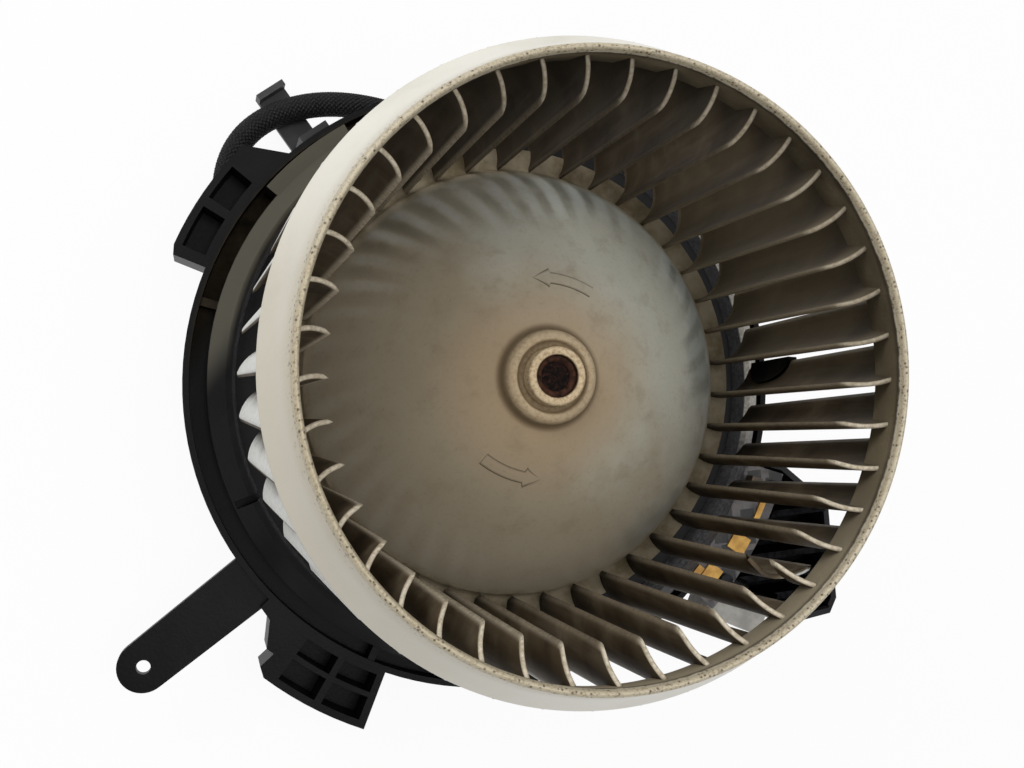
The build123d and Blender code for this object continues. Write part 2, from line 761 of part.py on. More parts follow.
# The mounting flange
with BuildPart() as mounting_flange:
    with BuildSketch(Plane.XZ):
        with BuildLine():
            Polyline(
                (0, 0),
                (cup_outer - 1.5, 0),
                (cup_outer, 1.5),
                (cup_outer, floor_bottom),
                (step_radius - step_wall, floor_bottom),
                (shoulder_radius - step_wall, floor_bottom - 2),
                (shoulder_radius - step_wall, channel_height - sheet),
                (rim_radius - rim_wall - 0.5, channel_height - sheet),
                (rim_radius - rim_wall, rim_bottom),
                (rim_radius, rim_bottom),
                (rim_radius, rim_height),
                (rim_radius - rim_wall, rim_height),
                (rim_radius - rim_wall, channel_height),
                (shoulder_radius, channel_height),
                (shoulder_radius, shoulder_height),
                (step_radius, step_height),
                (step_radius - step_wall, step_height),
                (step_radius - step_wall - 0.8, floor_height),
                (cup_outer, floor_height),
                (cup_outer, cup_top),
                (cup_radius, cup_top),
                (cup_radius, cup_floor),
                (0, cup_floor),
                close=True,
            )
        make_face()
    revolve(axis=Axis.Z)
    # ribs under the floor, notch in the step, ribs and pad in the channel
    with BuildSketch(Plane.XY.offset(channel_height - sheet)):
        with PolarLocations((cup_outer + shoulder_radius - step_wall) / 2, under_rib_count, start_angle=8):
            Rectangle(shoulder_radius - step_wall - cup_outer + 1, under_rib_thickness)
    extrude(amount=floor_bottom - channel_height + sheet + 1)
    with BuildSketch(Plane.XY.offset(floor_height + 0.5)):
        add(ring_sector(step_radius - 6, shoulder_radius - 0.6, -161.4, -159.8))
    extrude(amount=step_height - floor_height, mode=Mode.SUBTRACT)
    with BuildSketch(Plane.XY.offset(channel_height - 1)):
        add(ring_sector(shoulder_radius - 1, rim_radius - 1, 159.2, 160.8))
        add(ring_sector(shoulder_radius - 1, rim_radius - 1, -120.4, -119.0))
    extrude(amount=rim_height - channel_height + 0.5)
    with BuildSketch(Plane.XY.offset(channel_height - 1)):
        add(ring_sector(step_radius + 0.6, shoulder_radius + 4, 117, 136))
    extrude(amount=shoulder_height - channel_height + 1.5)
    # screw bosses of the clamp ring
    with BuildSketch(Plane.XY.offset(floor_height - 1)):
        with PolarLocations(clamp_ear_reach, clamp_count, start_angle=30):
            Circle(clamp_ear_radius - 0.4)
    extrude(amount=cup_top - floor_height + 1)
    with BuildSketch(Plane.XY.offset(cup_top - screw_length + clamp_thickness)):
        with PolarLocations(clamp_ear_reach, clamp_count, start_angle=30):
            Circle(screw_radius)
    extrude(amount=screw_length, mode=Mode.SUBTRACT)
    # vents in the cup's floor
    with BuildSketch():
        for vent in range(vent_count):
            vent_start = vent * 360 / vent_count
            add(ring_sector(9, 17, vent_start, vent_start + 44))
    extrude(amount=cup_floor, mode=Mode.SUBTRACT)
    # upper lug: a wedge and two open cells
    upper_lug = rim_radius + upper_lug_reach
    with BuildSketch(Plane.XY.offset(lug_bottom)):
        with BuildLine():
            Line(polar(rim_radius - 1, 127.2), polar(upper_lug + 0.6, 132.8))
            CenterArc((0, 0), upper_lug, 132.8, 19.6)
            Line(polar(upper_lug + 0.6, 132.8), polar(upper_lug, 132.8))
            Line(polar(upper_lug, 152.4), polar(upper_lug - 1, 154.0))
            Line(polar(upper_lug - 1, 154.0), polar(rim_radius - 1, 154.0))
            CenterArc((0, 0), rim_radius - 1, 127.2, 26.8)
        make_face()
    extrude(amount=rim_height - lug_bottom)
    with BuildSketch(Plane.XY.offset(lug_bottom + lug_cell_floor)):
        add(ring_sector(rim_radius + 1.4, upper_lug - 2.1, 136.4, 142.9))
        add(ring_sector(rim_radius + 1.4, upper_lug - 2.3, 144.6, 152.0))
    extrude(amount=rim_height, mode=Mode.SUBTRACT)
    # lower lug: a stepped foot and four open cells
    lower_lug = rim_radius + lower_lug_reach
    with BuildSketch(Plane.XY.offset(lug_bottom)):
        with BuildLine():
            Polyline(
                polar(rim_radius - 1, -142.0),
                polar(lower_lug - 15.0, -142.0),
                polar(lower_lug - 14.2, -139.3),
                polar(lower_lug - 7.2, -136.4),
                polar(lower_lug - 7.4, -135.0),
                polar(lower_lug - 2.0, -135.4),
                polar(lower_lug, -133.9),
            )
            CenterArc((0, 0), lower_lug, -133.9, 17.6)
            Line(polar(lower_lug, -116.3), polar(rim_radius - 1, -116.3))
            CenterArc((0, 0), rim_radius - 1, -142.0, 25.7)
        make_face()
    extrude(amount=rim_height - lug_bottom)
    with BuildSketch(Plane.XY.offset(lug_bottom + lug_cell_floor)):
        for cell_start, cell_end in ((-132.0, -125.4), (-124.2, -117.6)):
            add(ring_sector(rim_radius + 1.4, lower_lug - 11.2, cell_start, cell_end))
            add(ring_sector(lower_lug - 9.6, lower_lug - 2.3, cell_start, cell_end))
    extrude(amount=rim_height, mode=Mode.SUBTRACT)
    # strap arm
    arm_end = Vector(*polar(arm_length, arm_angle))
    arm_side = Vector(*polar(arm_end_radius, arm_angle + 90))
    with BuildSketch(Plane.XY.offset(arm_top - arm_thickness)):
        with BuildLine():
            Polyline(
                polar(rim_radius - 1, -151.4),
                arm_end - arm_side,
                arm_end + arm_side,
                polar(rim_radius - 1, -141.2),
                close=True,
            )
        make_face()
        with Locations(arm_end):
            Circle(arm_end_radius)
            Circle(arm_hole_radius, mode=Mode.SUBTRACT)
    extrude(amount=arm_thickness)
    # shelf under the regulator, with a wall down from the rim
    with BuildSketch(Plane.XY.offset(tray_bottom - shelf_thickness)):
        add(ring_sector(rim_radius - rim_wall, rim_radius, -60, -17))
    extrude(amount=rim_bottom - tray_bottom + shelf_thickness + 1)
    with BuildSketch(Plane.XY.offset(tray_bottom - shelf_thickness)):
        add(tray_outline(rim_radius - rim_wall))
    extrude(amount=shelf_thickness)
    # hooks that carry the lead under the floor
    for run_start, run_end in zip(lead_route[5:7], lead_route[6:8]):
        run = run_end - run_start
        hook_plane = Plane(origin=(run_start + run_end) / 2, x_dir=(-run.Y, run.X, 0), z_dir=run)
        with BuildSketch(hook_plane):
            Polygon(
                (-lead_radius - 2.3, floor_bottom - lead_height + 1),
                (-lead_radius - lead_clearance, floor_bottom - lead_height + 1),
                (-lead_radius - lead_clearance, -lead_radius),
                (lead_radius, -lead_radius),
                (lead_radius, -lead_radius - 2),
                (-lead_radius - 2.3, -lead_radius - 2),
                align=None,
            )
        extrude(amount=3, both=True)
    # hole for the lead's grommet in the cup, and where the lead passes the rim's wall
    for hole_angle, hole_reach, hole_radius in (
        (lead_angle, cup_radius + cup_wall / 2, grommet_radius),
        (lead_entry_angle, rim_radius, lead_radius + lead_clearance),
    ):
        hole_plane = Plane(
            origin=(*polar(hole_reach - 4, hole_angle), lead_height),
            z_dir=(*polar(1, hole_angle), 0),
        )
        with BuildSketch(hole_plane):
            Circle(hole_radius)
        extrude(amount=8, mode=Mode.SUBTRACT)
save(mounting_flange.part, "mounting_flange")

# What holds the motor in the cup
with BuildPart() as damper_ring:
    with BuildSketch(Plane.XY.offset(cup_floor)):
        add(ring(can_radius - 1 - damper_ring_width, can_radius - 1))
    extrude(amount=damper_ring_thickness)
save(damper_ring.part, "damper_ring")

with BuildPart() as rubber_dampers:
    with BuildSketch(Plane.XY.offset(damper_bottom)):
        for damper in range(damper_count):
            middle = 13 + damper * 360 / damper_count
            add(ring_sector(can_radius, cup_radius, middle - damper_half_angle, middle + damper_half_angle))
    extrude(amount=bead_bottom - damper_bottom)
save(rubber_dampers.part, "rubber_dampers")

with BuildPart() as clamp_ring:
    with BuildSketch(Plane.XY.offset(cup_top)):
        Circle(clamp_ear_reach - 2)
        with PolarLocations(clamp_ear_reach, clamp_count, start_angle=30):
            Circle(clamp_ear_radius)
            Circle(screw_radius + screw_clearance, mode=Mode.SUBTRACT)
        Circle(can_radius + 0.4, mode=Mode.SUBTRACT)
    extrude(amount=clamp_thickness)
save(clamp_ring.part, "clamp_ring")

with BuildPart() as clamp_screws:
    with BuildSketch(Plane.XY.offset(cup_top + clamp_thickness)):
        with PolarLocations(clamp_ear_reach, clamp_count, start_angle=30):
            Circle(screw_head_radius)
    extrude(amount=screw_head_height)
    with BuildSketch(Plane.XY.offset(cup_top + clamp_thickness)):
        with PolarLocations(clamp_ear_reach, clamp_count, start_angle=30):
            Circle(screw_radius)
    extrude(amount=-screw_length)
save(clamp_screws.part, "clamp_screws")

# The lead and what holds it
lead_radii = bend_radii(lead_route)
print("lead bend radii", [round(radius, 1) for radius in lead_radii])
with BuildPart() as motor_lead:
    with BuildLine() as lead_path:
        FilletPolyline(*lead_route, radius=lead_radii)
    lead_wire = lead_path.wire()
    with BuildSketch(Plane(origin=lead_wire @ 0, z_dir=lead_wire % 0)):
        Circle(lead_radius)
    sweep(path=lead_wire)
print("lead length", round(lead_wire.length, 1))
save(motor_lead.part, "motor_lead")

with BuildPart() as lead_grommet:
    grommet_plane = Plane(
        origin=(*polar(cup_radius, lead_angle), lead_height),
        z_dir=(*polar(1, lead_angle), 0),
    )
    with BuildSketch(grommet_plane):
        add(ring(lead_radius, grommet_radius))
    extrude(amount=cup_wall + grommet_collar_width)
    with BuildSketch(grommet_plane.offset(cup_wall + 0.3)):
        add(ring(lead_radius, grommet_collar))
    extrude(amount=grommet_collar_width)
save(lead_grommet.part, "lead_grommet")

clip_top = lead_low_height + 1 - lead_radius
with BuildPart() as cable_clip:
    with BuildSketch(Plane.XZ.rotated((0, 0, clip_angle))):
        Polygon(
            (rim_radius, rim_height - 1),
            (rim_radius + clip_thickness, rim_height - 1),
            (rim_radius + clip_thickness, clip_top),
            (clip_reach - clip_thickness, clip_top),
            (clip_reach - clip_thickness, clip_top + clip_lip),
            (clip_reach, clip_top + clip_lip),
            (clip_reach, clip_top - clip_thickness),
            (rim_radius, clip_top - clip_thickness),
            align=None,
        )
    extrude(amount=clip_width / 2, both=True)
save(cable_clip.part, "cable_clip")

# The speed regulator
socket_edge = Vector(*tray_corners[5]) - Vector(*tray_corners[6])
socket_plane = Plane(origin=(*tray_corners[6], 0), x_dir=socket_edge, z_dir=(0, 0, 1))
socket_middle = (socket_start + socket_length / 2, -socket_depth / 2)
pin_pitch = socket_length / (pin_count + 0.4)


def pin_legs():
    """Flat legs of the connector's pins, from the socket into the tray."""
    with BuildSketch() as legs:
        for pin in range(pin_count):
            along = socket_middle[0] + (pin - (pin_count - 1) / 2) * pin_pitch
            with Locations((along, socket_middle[1] / 2 + 1.5)):
                Rectangle(pin_width, -socket_middle[1] + 4)
    return legs.sketch


def socket_room():
    """Strip inside the tray that stays free for the ends of the pins' legs."""
    with BuildSketch(socket_plane) as strip:
        with Locations((socket_middle[0], tray_wall + 2)):
            Rectangle(socket_length + 2, 8)
    return strip.sketch


pin_leg_height = socket_top - 5.0
with BuildPart() as regulator_housing:
    with BuildSketch(Plane.XY.offset(tray_bottom)):
        add(tray_outline(tray_radius))
    extrude(amount=tray_top - tray_bottom)
    with BuildSketch(Plane.XY.offset(tray_floor_top)):
        offset(tray_outline(tray_radius), amount=-tray_wall, kind=Kind.INTERSECTION)
    extrude(amount=tray_top - tray_floor_top, mode=Mode.SUBTRACT)
    with BuildSketch(Plane.XY.offset(tray_floor_top)):
        for post_angle in post_angles:
            with Locations(polar(post_reach, post_angle)):
                Circle(post_radius)
    extrude(amount=board_height - tray_floor_top)
    with BuildSketch(Plane.XY.offset(board_height)):
        for post_angle in post_angles:
            with Locations(polar(post_reach, post_angle)):
                Circle(board_screw_radius)
    extrude(amount=board_thickness - board_screw_length, mode=Mode.SUBTRACT)
    entry_plane = Plane(
        origin=(*polar(tray_radius - 2, lead_entry_angle), lead_height),
        z_dir=(*polar(1, lead_entry_angle), 0),
    )
    with BuildSketch(entry_plane):
        Circle(lead_radius)
    extrude(amount=tray_wall + 4, mode=Mode.SUBTRACT)
    with BuildSketch(socket_plane.offset(pin_leg_height)):
        add(pin_legs())
    extrude(amount=pin_thickness, mode=Mode.SUBTRACT)
save(regulator_housing.part, "regulator_housing")

with BuildPart() as heat_sink:
    with BuildSketch(Plane.XY.offset(tray_floor_top)) as sink_outline:
        offset(tray_outline(tray_radius), amount=-tray_wall - sink_clearance, kind=Kind.INTERSECTION)
        Circle(sink_inner, mode=Mode.SUBTRACT)
        add(socket_room(), mode=Mode.SUBTRACT)
    extrude(amount=board_height - tray_floor_top)
    sink_low = sink_outline.sketch.bounding_box().min.Y
    sink_high = sink_outline.sketch.bounding_box().max.Y
    groove = sink_fin_pitch - sink_fin_thickness
    groove_count = int((sink_high - sink_low) / sink_fin_pitch)
    with BuildSketch(Plane.XY.offset(tray_floor_top + sink_base)):
        for step in range(groove_count):
            with Locations((sink_inner, sink_low + sink_fin_thickness + groove / 2 + step * sink_fin_pitch)):
                Rectangle(60, groove)
    extrude(amount=board_height - tray_floor_top, mode=Mode.SUBTRACT)
save(heat_sink.part, "heat_sink")

with BuildPart() as circuit_board:
    with BuildSketch(Plane.XY.offset(board_height)):
        add(ring_sector(board_inner, board_outer, board_end, board_start))
        for post_angle in post_angles:
            with Locations(polar(post_reach, post_angle)):
                Circle(board_hole_radius, mode=Mode.SUBTRACT)
    extrude(amount=board_thickness)
save(circuit_board.part, "circuit_board")

with BuildPart() as capacitors:
    with BuildSketch(Plane.XY.offset(board_height - capacitor_length)):
        with Locations(polar(post_reach + 0.3, capacitor_angle)):
            Circle(capacitor_radius)
    extrude(amount=capacitor_length)
    with BuildSketch(Plane.XY.offset(board_top)):
        add(ring_sector(board_inner + 1.5, board_inner + 5.5, -28.5, -24))
    extrude(amount=4.5)
save(capacitors.part, "capacitors")

with BuildPart() as power_transistors:
    for transistor_angle in transistor_angles:
        across = Plane.XY.rotated((0, 0, transistor_angle))
        reach = sink_inner - 0.2 - transistor_thickness / 2
        with BuildSketch(across.offset(transistor_bottom)):
            with Locations((reach, 0)):
                Rectangle(transistor_thickness, transistor_width)
        extrude(amount=transistor_top - transistor_bottom)
        with BuildSketch(across.offset(transistor_top)):
            with Locations((board_outer - 1.2, 0)):
                with GridLocations(1, 2.5, 1, 3):
                    Rectangle(transistor_leg, transistor_leg)
        extrude(amount=board_height - transistor_top)
save(power_transistors.part, "power_transistors")

with BuildPart() as terminal_strips:
    with BuildSketch(Plane.XY.offset(board_top)):
        for strip_near, strip_far, strip_start, strip_end in (
            (9.0, 11.0, -31.5, -27.5),
            (5.0, 11.5, -39.0, -35.5),
            (3.2, 8.8, -46.8, -43.6),
            (0.4, 2.8, -48.6, -45.6),
        ):
            add(ring_sector(board_inner + strip_near, board_inner + strip_far, strip_start, strip_end))
    extrude(amount=strip_thickness)
save(terminal_strips.part, "terminal_strips")

with BuildPart() as connector_socket:
    with BuildSketch(socket_plane.offset(socket_top - socket_height)):
        with Locations(socket_middle):
            Rectangle(socket_length, socket_depth)
    extrude(amount=socket_height)
    with BuildSketch(socket_plane.offset(socket_top - socket_height)):
        with Locations(socket_middle):
            Rectangle(socket_length - 2 * socket_wall, socket_depth - 2 * socket_wall)
    extrude(amount=socket_height - socket_wall, mode=Mode.SUBTRACT)
    with BuildSketch(socket_plane.offset(pin_leg_height)):
        add(pin_legs())
    extrude(amount=pin_thickness, mode=Mode.SUBTRACT)
save(connector_socket.part, "connector_socket")

with BuildPart() as connector_pins:
    with BuildSketch(socket_plane.offset(pin_leg_height)):
        add(pin_legs())
    extrude(amount=pin_thickness)
    with BuildSketch(socket_plane.offset(pin_leg_height)):
        for pin in range(pin_count):
            along = socket_middle[0] + (pin - (pin_count - 1) / 2) * pin_pitch
            with Locations((along, socket_middle[1])):
                Rectangle(pin_width, pin_thickness)
    extrude(amount=-socket_height + 6.5)
save(connector_pins.part, "connector_pins")

with BuildPart() as regulator_screws:
    for post_angle in post_angles:
        with BuildSketch(Plane.XY.offset(board_top)):
            with Locations(polar(post_reach, post_angle)):
                Circle(board_screw_head)
        extrude(amount=board_screw_head_height)
        with BuildSketch(Plane.XY.offset(board_top)):
            with Locations(polar(post_reach, post_angle)):
                Circle(board_screw_radius)
        extrude(amount=-board_screw_length)
save(regulator_screws.part, "regulator_screws")
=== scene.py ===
"""Looks of the car cabin blower: bladed wheel, braided lead, dusty flange and speed regulator.

Metres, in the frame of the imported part: +Z out of the wheel's mouth, X right and Y up in the photograph.
"""
from math import radians

import bpy
import numpy as np
from mathutils import Matrix, Vector


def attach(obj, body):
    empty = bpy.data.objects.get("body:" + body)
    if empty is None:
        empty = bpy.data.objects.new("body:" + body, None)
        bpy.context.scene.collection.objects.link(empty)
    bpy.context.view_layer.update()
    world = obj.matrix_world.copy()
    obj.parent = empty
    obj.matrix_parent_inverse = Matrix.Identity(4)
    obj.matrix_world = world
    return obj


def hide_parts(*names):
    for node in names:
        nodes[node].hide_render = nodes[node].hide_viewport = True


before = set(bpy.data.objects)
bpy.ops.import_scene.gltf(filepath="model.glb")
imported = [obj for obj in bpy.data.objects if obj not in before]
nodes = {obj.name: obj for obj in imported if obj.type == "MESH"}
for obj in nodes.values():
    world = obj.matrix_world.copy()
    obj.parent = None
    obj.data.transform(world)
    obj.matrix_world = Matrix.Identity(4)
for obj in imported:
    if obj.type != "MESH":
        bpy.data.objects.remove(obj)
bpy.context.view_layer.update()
MM = 0.001

# Wheel, the same sizes as the CAD wheel
BLADE_COUNT = 41
BLADE_LEAD_ANGLE = radians(89.03)
BLADE_PITCH = radians(360 / BLADE_COUNT)
BLADE_THICKNESS = 1.2 * MM
CAMBER_RADIUS = 11.58 * MM
BLADE_FOOT = 51.0 * MM
BLADE_CORNER = 134.0 * MM
BLADE_TOP = 142.0 * MM
CORNER_ROUND = 2.5 * MM
SECTION_CENTRE = (-10.73 * MM, 69.47 * MM)      # middle of a section's circle at the blade's foot
CENTRE_DRIFT = (-0.86 * MM, -2.31 * MM)         # how far it moves from there up to the corner
SECTION_END = radians(82.6)                     # angle on that circle where a section ends, at the foot
SECTION_TURN = radians(8.0)                     # and how much it grows up to the corner
INNER_EDGE = ((51.0, 64.8), (134.0, 64.0), (142.0, 72.2))     # height and radius, millimetres
OUTER_EDGE = ((51.0, 81.9), (132.5, 80.0), (133.1, 79.1), (142.0, 74.6))
DOME_ARC = ((13.1, 90.0), (41.9, 78.4), (63.7, 58.0))     # radius and height of three points, millimetres
DOME_EDGE = 63.7 * MM
LIP_TOP = 148.4 * MM
LIP_RADIUS = 72.4 * MM

# Blade grid, and the one broken blade
BLADE_ACROSS = 17           # points from the inner edge to the outer
STRAIGHT_ROWS = 26          # rows of points below the slanted end
BLADE_ROWS = 46
BROKEN_BLADE = 25
BREAK = (21, 25)            # rows between which the broken blade is missing
RAGGED = 1.5 * MM

# Turning arrows, millimetres and degrees
ARROW_BAND, ARROW_HEAD = 1.9, 3.2               # half widths
ARROW_NECK = 0.73                               # share of the length where the head starts
ARROW_RADIUS = 28.0
ARROW_TURNS = ((55.0, 36.0), (-132.5, 35.5))    # start and sweep of each

# Route of the braided lead, millimetres, as in the CAD
LEAD_ROUTE = (
    (-29.34, 18.34, 16.0),
    (-50.88, 31.80, 16.0),
    (-81.5, 48.0, 11.4),
    (-76.9, 90.6, 11.4),
    (-33.0, 100.5, 15.0),
    (29.5, 66.2, 16.0),
    (67.2, 27.2, 16.0),
    (45.87, -32.12, 16.0),
    (84.37, -59.08, 16.0),
)
LEAD_RADIUS = 4.0 * MM
STRANDS = 16

# Camera, solved from the photograph
CAMERA_PLACE = (-0.09106, -0.00452, 0.38274)
CAMERA_TURN = (-0.0229, 0.2683, 0.0828)     # rotation vector from the part's axes to the camera's
CAMERA_LENS = 39.39
SENSOR_WIDTH = 36.0

# Lamps as name, place, size and power, and the even light round them
LAMPS = (
    ("key", (-0.42, 0.62, 0.66), 0.5, 4.0),
    ("fill", (0.12, -0.02, 0.95), 0.45, 3.0),
)
LAMP_TARGET = (0, 0, 0.06)
WORLD_LIGHT = 0.5
FLOOR_HALF = 3.0
FLOOR_HEIGHT = -0.0002
FLOOR_GLOW = 0.93           # share of the floor's own white where the camera or a mirror sees it


def tint(code):
    """Linear colour of a colour written as hexadecimal sRGB: ((c + 0.055) / 1.055) ** 2.4, linear below 0.04."""
    channels = np.array([int(code[i:i + 2], 16) for i in (1, 3, 5)]) / 255
    linear = np.where(channels <= 0.04045, channels / 12.92, ((channels + 0.055) / 1.055) ** 2.4)
    return (*linear.tolist(), 1.0)


# Meshes

def cells_of(index):
    """Quads of a grid of vertex numbers, one for each cell."""
    return np.stack([index[:-1, :-1], index[1:, :-1], index[1:, 1:], index[:-1, 1:]], -1).reshape(-1, 4)


def grid_mesh(name, points, wrap_rows=False, wrap_columns=False, marks=None):
    """Smooth mesh over a grid of points (rows, columns, 3), wrapped where asked."""
    rows, columns = points.shape[:2]
    index = np.arange(rows * columns).reshape(rows, columns)
    if wrap_rows:
        index = np.vstack([index, index[:1]])
    if wrap_columns:
        index = np.hstack([index, index[:, :1]])
    return solid_from(name, points.reshape(-1, 3), cells_of(index), marks)


def solid_from(name, vertices, faces, marks=None, smooth=True):
    """Object from vertices and faces, with float attributes by vertex."""
    mesh = bpy.data.meshes.new(name)
    mesh.from_pydata(vertices.tolist(), [], faces.tolist())
    for mark_name, values in (marks or {}).items():
        attribute = mesh.attributes.new(mark_name, "FLOAT", "POINT")
        attribute.data.foreach_set("value", np.ascontiguousarray(values, dtype=np.float32).ravel())
    mesh.polygons.foreach_set("use_smooth", np.full(len(mesh.polygons), smooth))
    mesh.validate()
    mesh.update()
    piece = bpy.data.objects.new(name, mesh)
    bpy.context.scene.collection.objects.link(piece)
    return piece


def unit(vectors):
    """Vectors scaled to length 1."""
    return vectors / np.linalg.norm(vectors, axis=1, keepdims=True)


def rounded_profile(corners, steps=4):
    """Closed profile with rounded corners: at each corner (x, z, round) a parabola runs between two points that
    lie the length of the rounding before and after it, p = (1-t)^2 a + 2t(1-t) corner + t^2 b."""
    spots = np.array([corner[:2] for corner in corners], float)
    rounds = np.array([corner[2] for corner in corners], float)[:, None]
    before = np.roll(spots, 1, 0) - spots
    after = np.roll(spots, -1, 0) - spots
    long_before = np.linalg.norm(before, axis=1, keepdims=True)
    long_after = np.linalg.norm(after, axis=1, keepdims=True)
    a = spots + before / long_before * np.minimum(rounds, 0.45 * long_before)
    b = spots + after / long_after * np.minimum(rounds, 0.45 * long_after)
    t = np.linspace(0, 1, steps)[None, :, None]
    path = (1 - t) ** 2 * a[:, None] + 2 * t * (1 - t) * spots[:, None] + t ** 2 * b[:, None]
    return path.reshape(-1, 2)


def arc_through(three, count):
    """Points of the circle through three points, from the first to the last, by equal angles."""
    (x1, y1), (x2, y2), (x3, y3) = three
    d = 2 * (x1 * (y2 - y3) + x2 * (y3 - y1) + x3 * (y1 - y2))
    squares = [x * x + y * y for x, y in three]
    cx = (squares[0] * (y2 - y3) + squares[1] * (y3 - y1) + squares[2] * (y1 - y2)) / d
    cy = (squares[0] * (x3 - x2) + squares[1] * (x1 - x3) + squares[2] * (x2 - x1)) / d
    radius = np.hypot(x1 - cx, y1 - cy)
    start, end = np.arctan2(y1 - cy, x1 - cx), np.arctan2(y3 - cy, x3 - cx)
    angle = np.linspace(start, end, count)
    return np.stack([cx + radius * np.cos(angle), cy + radius * np.sin(angle)], 1)


def around(radius, angle, height):
    """Points (r cos a, r sin a, z), with the three spread to one shape."""
    return np.stack(np.broadcast_arrays(radius * np.cos(angle), radius * np.sin(angle), height), -1)


def spun(name, profile, steps):
    """Surface of revolution: (r, z) of a closed profile in millimetres becomes (r cos a, r sin a, z)."""
    angle = np.linspace(0, 2 * np.pi, steps, endpoint=False)[:, None]
    return grid_mesh(name, around(profile[:, 0] * MM, angle, profile[:, 1] * MM), True, True)


def ring_piece():
    """Mouth ring: a thin wall from the rolled lip down to the skirt, spun round the axis. Corners are radius,
    height and rounding in millimetres, here and in the dome's profile."""
    skirt = arc_through(((73.2, 147.9), (75.7, 140.4), (80.0, 132.5)), 14)
    outer = [(x, z, 0.25) for x, z in skirt]
    outer[0] = (73.2, 147.9, 0.5)
    outer[-1] = (80.0, 132.5, 0.5)
    inner = [(78.7, 132.1, 0.5), (76.6, 137.2, 0.3), (74.6, 142.6, 0.5), (75.2, 132.0, 0.4), (74.1, 132.0, 0.4),
             (71.5, 145.8, 0.8), (71.8, 147.9, 0.5), (72.4, 148.4, 0.4)]
    profile = rounded_profile(outer + inner)[::-1]
    highest = np.argmax(profile[:, 1])
    return spun("wheel_mouth_ring", np.roll(profile, -highest, 0), steps=8 * BLADE_COUNT)


def dome_piece():
    """Dome, its edge plate and the hub with its collar: one closed profile spun round the axis."""
    front = [(5.45, 97.6, 0.3), (5.6, 98.4, 0.4), (6.0, 99.0, 0.5), (7.4, 99.0, 0.5), (8.0, 98.4, 0.4),
             (8.0, 93.4, 0.5), (9.6, 93.4, 0.5), (10.2, 95.0, 0.5), (11.7, 94.8, 0.8), (12.8, 93.4, 0.8),
             (13.1, 90.6, 0.5), (13.8, 89.8, 0.6)]
    face = [(x, z, 0.3) for x, z in arc_through(DOME_ARC, 40)[1:]]
    edge = [(64.5, 53.9, 0.6), (65.5, 52.5, 0.8), (71.9, 52.5, 0.4), (71.9, 50.9, 0.3), (63.7, 50.9, 0.5),
            (62.3, 52.3, 0.5)]
    rear = [(x, z, 0.3) for x, z in arc_through(((61.5, 56.0), (40.4, 76.3), (13.1, 87.5)), 24)]
    tube = [(10.0, 83.0, 0.3), (10.0, 80.0, 0.3), (5.45, 80.0, 0.2)]
    return spun("wheel_dome_and_hub", rounded_profile(front + face + edge + rear + tube, steps=3)[::-1], steps=240)


def rounded_off(u, share=0.07):
    """Thickness towards an edge at u = 0, from 0 to 1: a quarter circle sqrt(1 - (1 - u / share)^2)."""
    return np.sqrt(np.clip(1 - (1 - np.clip(u / share, 0, 1)) ** 2, 0, 1))


def blade_points():
    """Points of the first blade (round the section, up, 3). At a height z the section follows a circle of radius
    R round (cx, cy), a centre that moves along a line from the far end to the mouth. A radius r about the
    wheel's axis cuts that circle at phi = g - arccos((r r - D D - R R) / (2 R D)), with D and g the centre's
    distance and direction, so u from 0 to 1 runs along the circle from the inner edge to the outer. The surface
    lies half a thickness off the circle on both sides, rounded off at both edges."""
    heights = np.concatenate([np.linspace(BLADE_FOOT, BLADE_CORNER - 3 * MM, STRAIGHT_ROWS),
                              np.linspace(BLADE_CORNER - 2 * MM, BLADE_TOP, BLADE_ROWS - STRAIGHT_ROWS)])
    way = (heights - BLADE_FOOT) / (BLADE_CORNER - BLADE_FOOT)
    cx, cy = (centre + drift * way for centre, drift in zip(SECTION_CENTRE, CENTRE_DRIFT))
    distance, direction = np.hypot(cx, cy), np.arctan2(cy, cx)
    inner, outer = (np.interp(heights, *(np.array(edge) * MM).T) for edge in (INNER_EDGE, OUTER_EDGE))
    # round the corner between the inner edge and the slanted end
    inner += 0.5 * MM * np.clip(1 - np.abs(heights - BLADE_CORNER) / CORNER_ROUND, 0, 1) ** 2

    def circle_angle(radius):
        """Angle at which a section's circle crosses a radius about the wheel's axis."""
        cosine = (radius ** 2 - distance ** 2 - CAMBER_RADIUS ** 2) / (2 * CAMBER_RADIUS * distance)
        return direction - np.arccos(np.clip(cosine, -1, 1))

    first = circle_angle(inner)
    last = np.minimum(SECTION_END + SECTION_TURN * way, circle_angle(outer))
    u = np.linspace(0, 1, BLADE_ACROSS)[:, None]
    phi = first + (last - first) * u
    sides = []
    for half in (0.5 * BLADE_THICKNESS, -0.5 * BLADE_THICKNESS):
        r = CAMBER_RADIUS + half * rounded_off(u) * rounded_off(1 - u)
        x, y = cx + r * np.cos(phi), cy + r * np.sin(phi)
        sides.append(around(np.hypot(x, y), np.arctan2(y, x) + BLADE_LEAD_ANGLE - np.pi / 2, heights))
    return np.concatenate([sides[0], sides[1][-2:0:-1]])


def blade_faces(spans):
    """Faces of one blade over each span of its rows: its sides, and strips that close both ends of the span."""
    count = 2 * BLADE_ACROSS - 2
    index = np.arange(count * BLADE_ROWS).reshape(count, BLADE_ROWS)
    wrapped = np.vstack([index, index[:1]])
    left = np.arange(1, BLADE_ACROSS - 2)
    faces = []
    for low, high in spans:
        faces.append(cells_of(wrapped[:, low:high + 1]))
        for row, turn in ((low, 1), (high, -1)):
            strip = np.stack([index[left, row], index[left + 1, row], index[count - left - 1, row],
                              index[count - left, row]], -1)
            faces.append(strip[:, ::turn])
    return np.concatenate(faces)[:, ::-1]


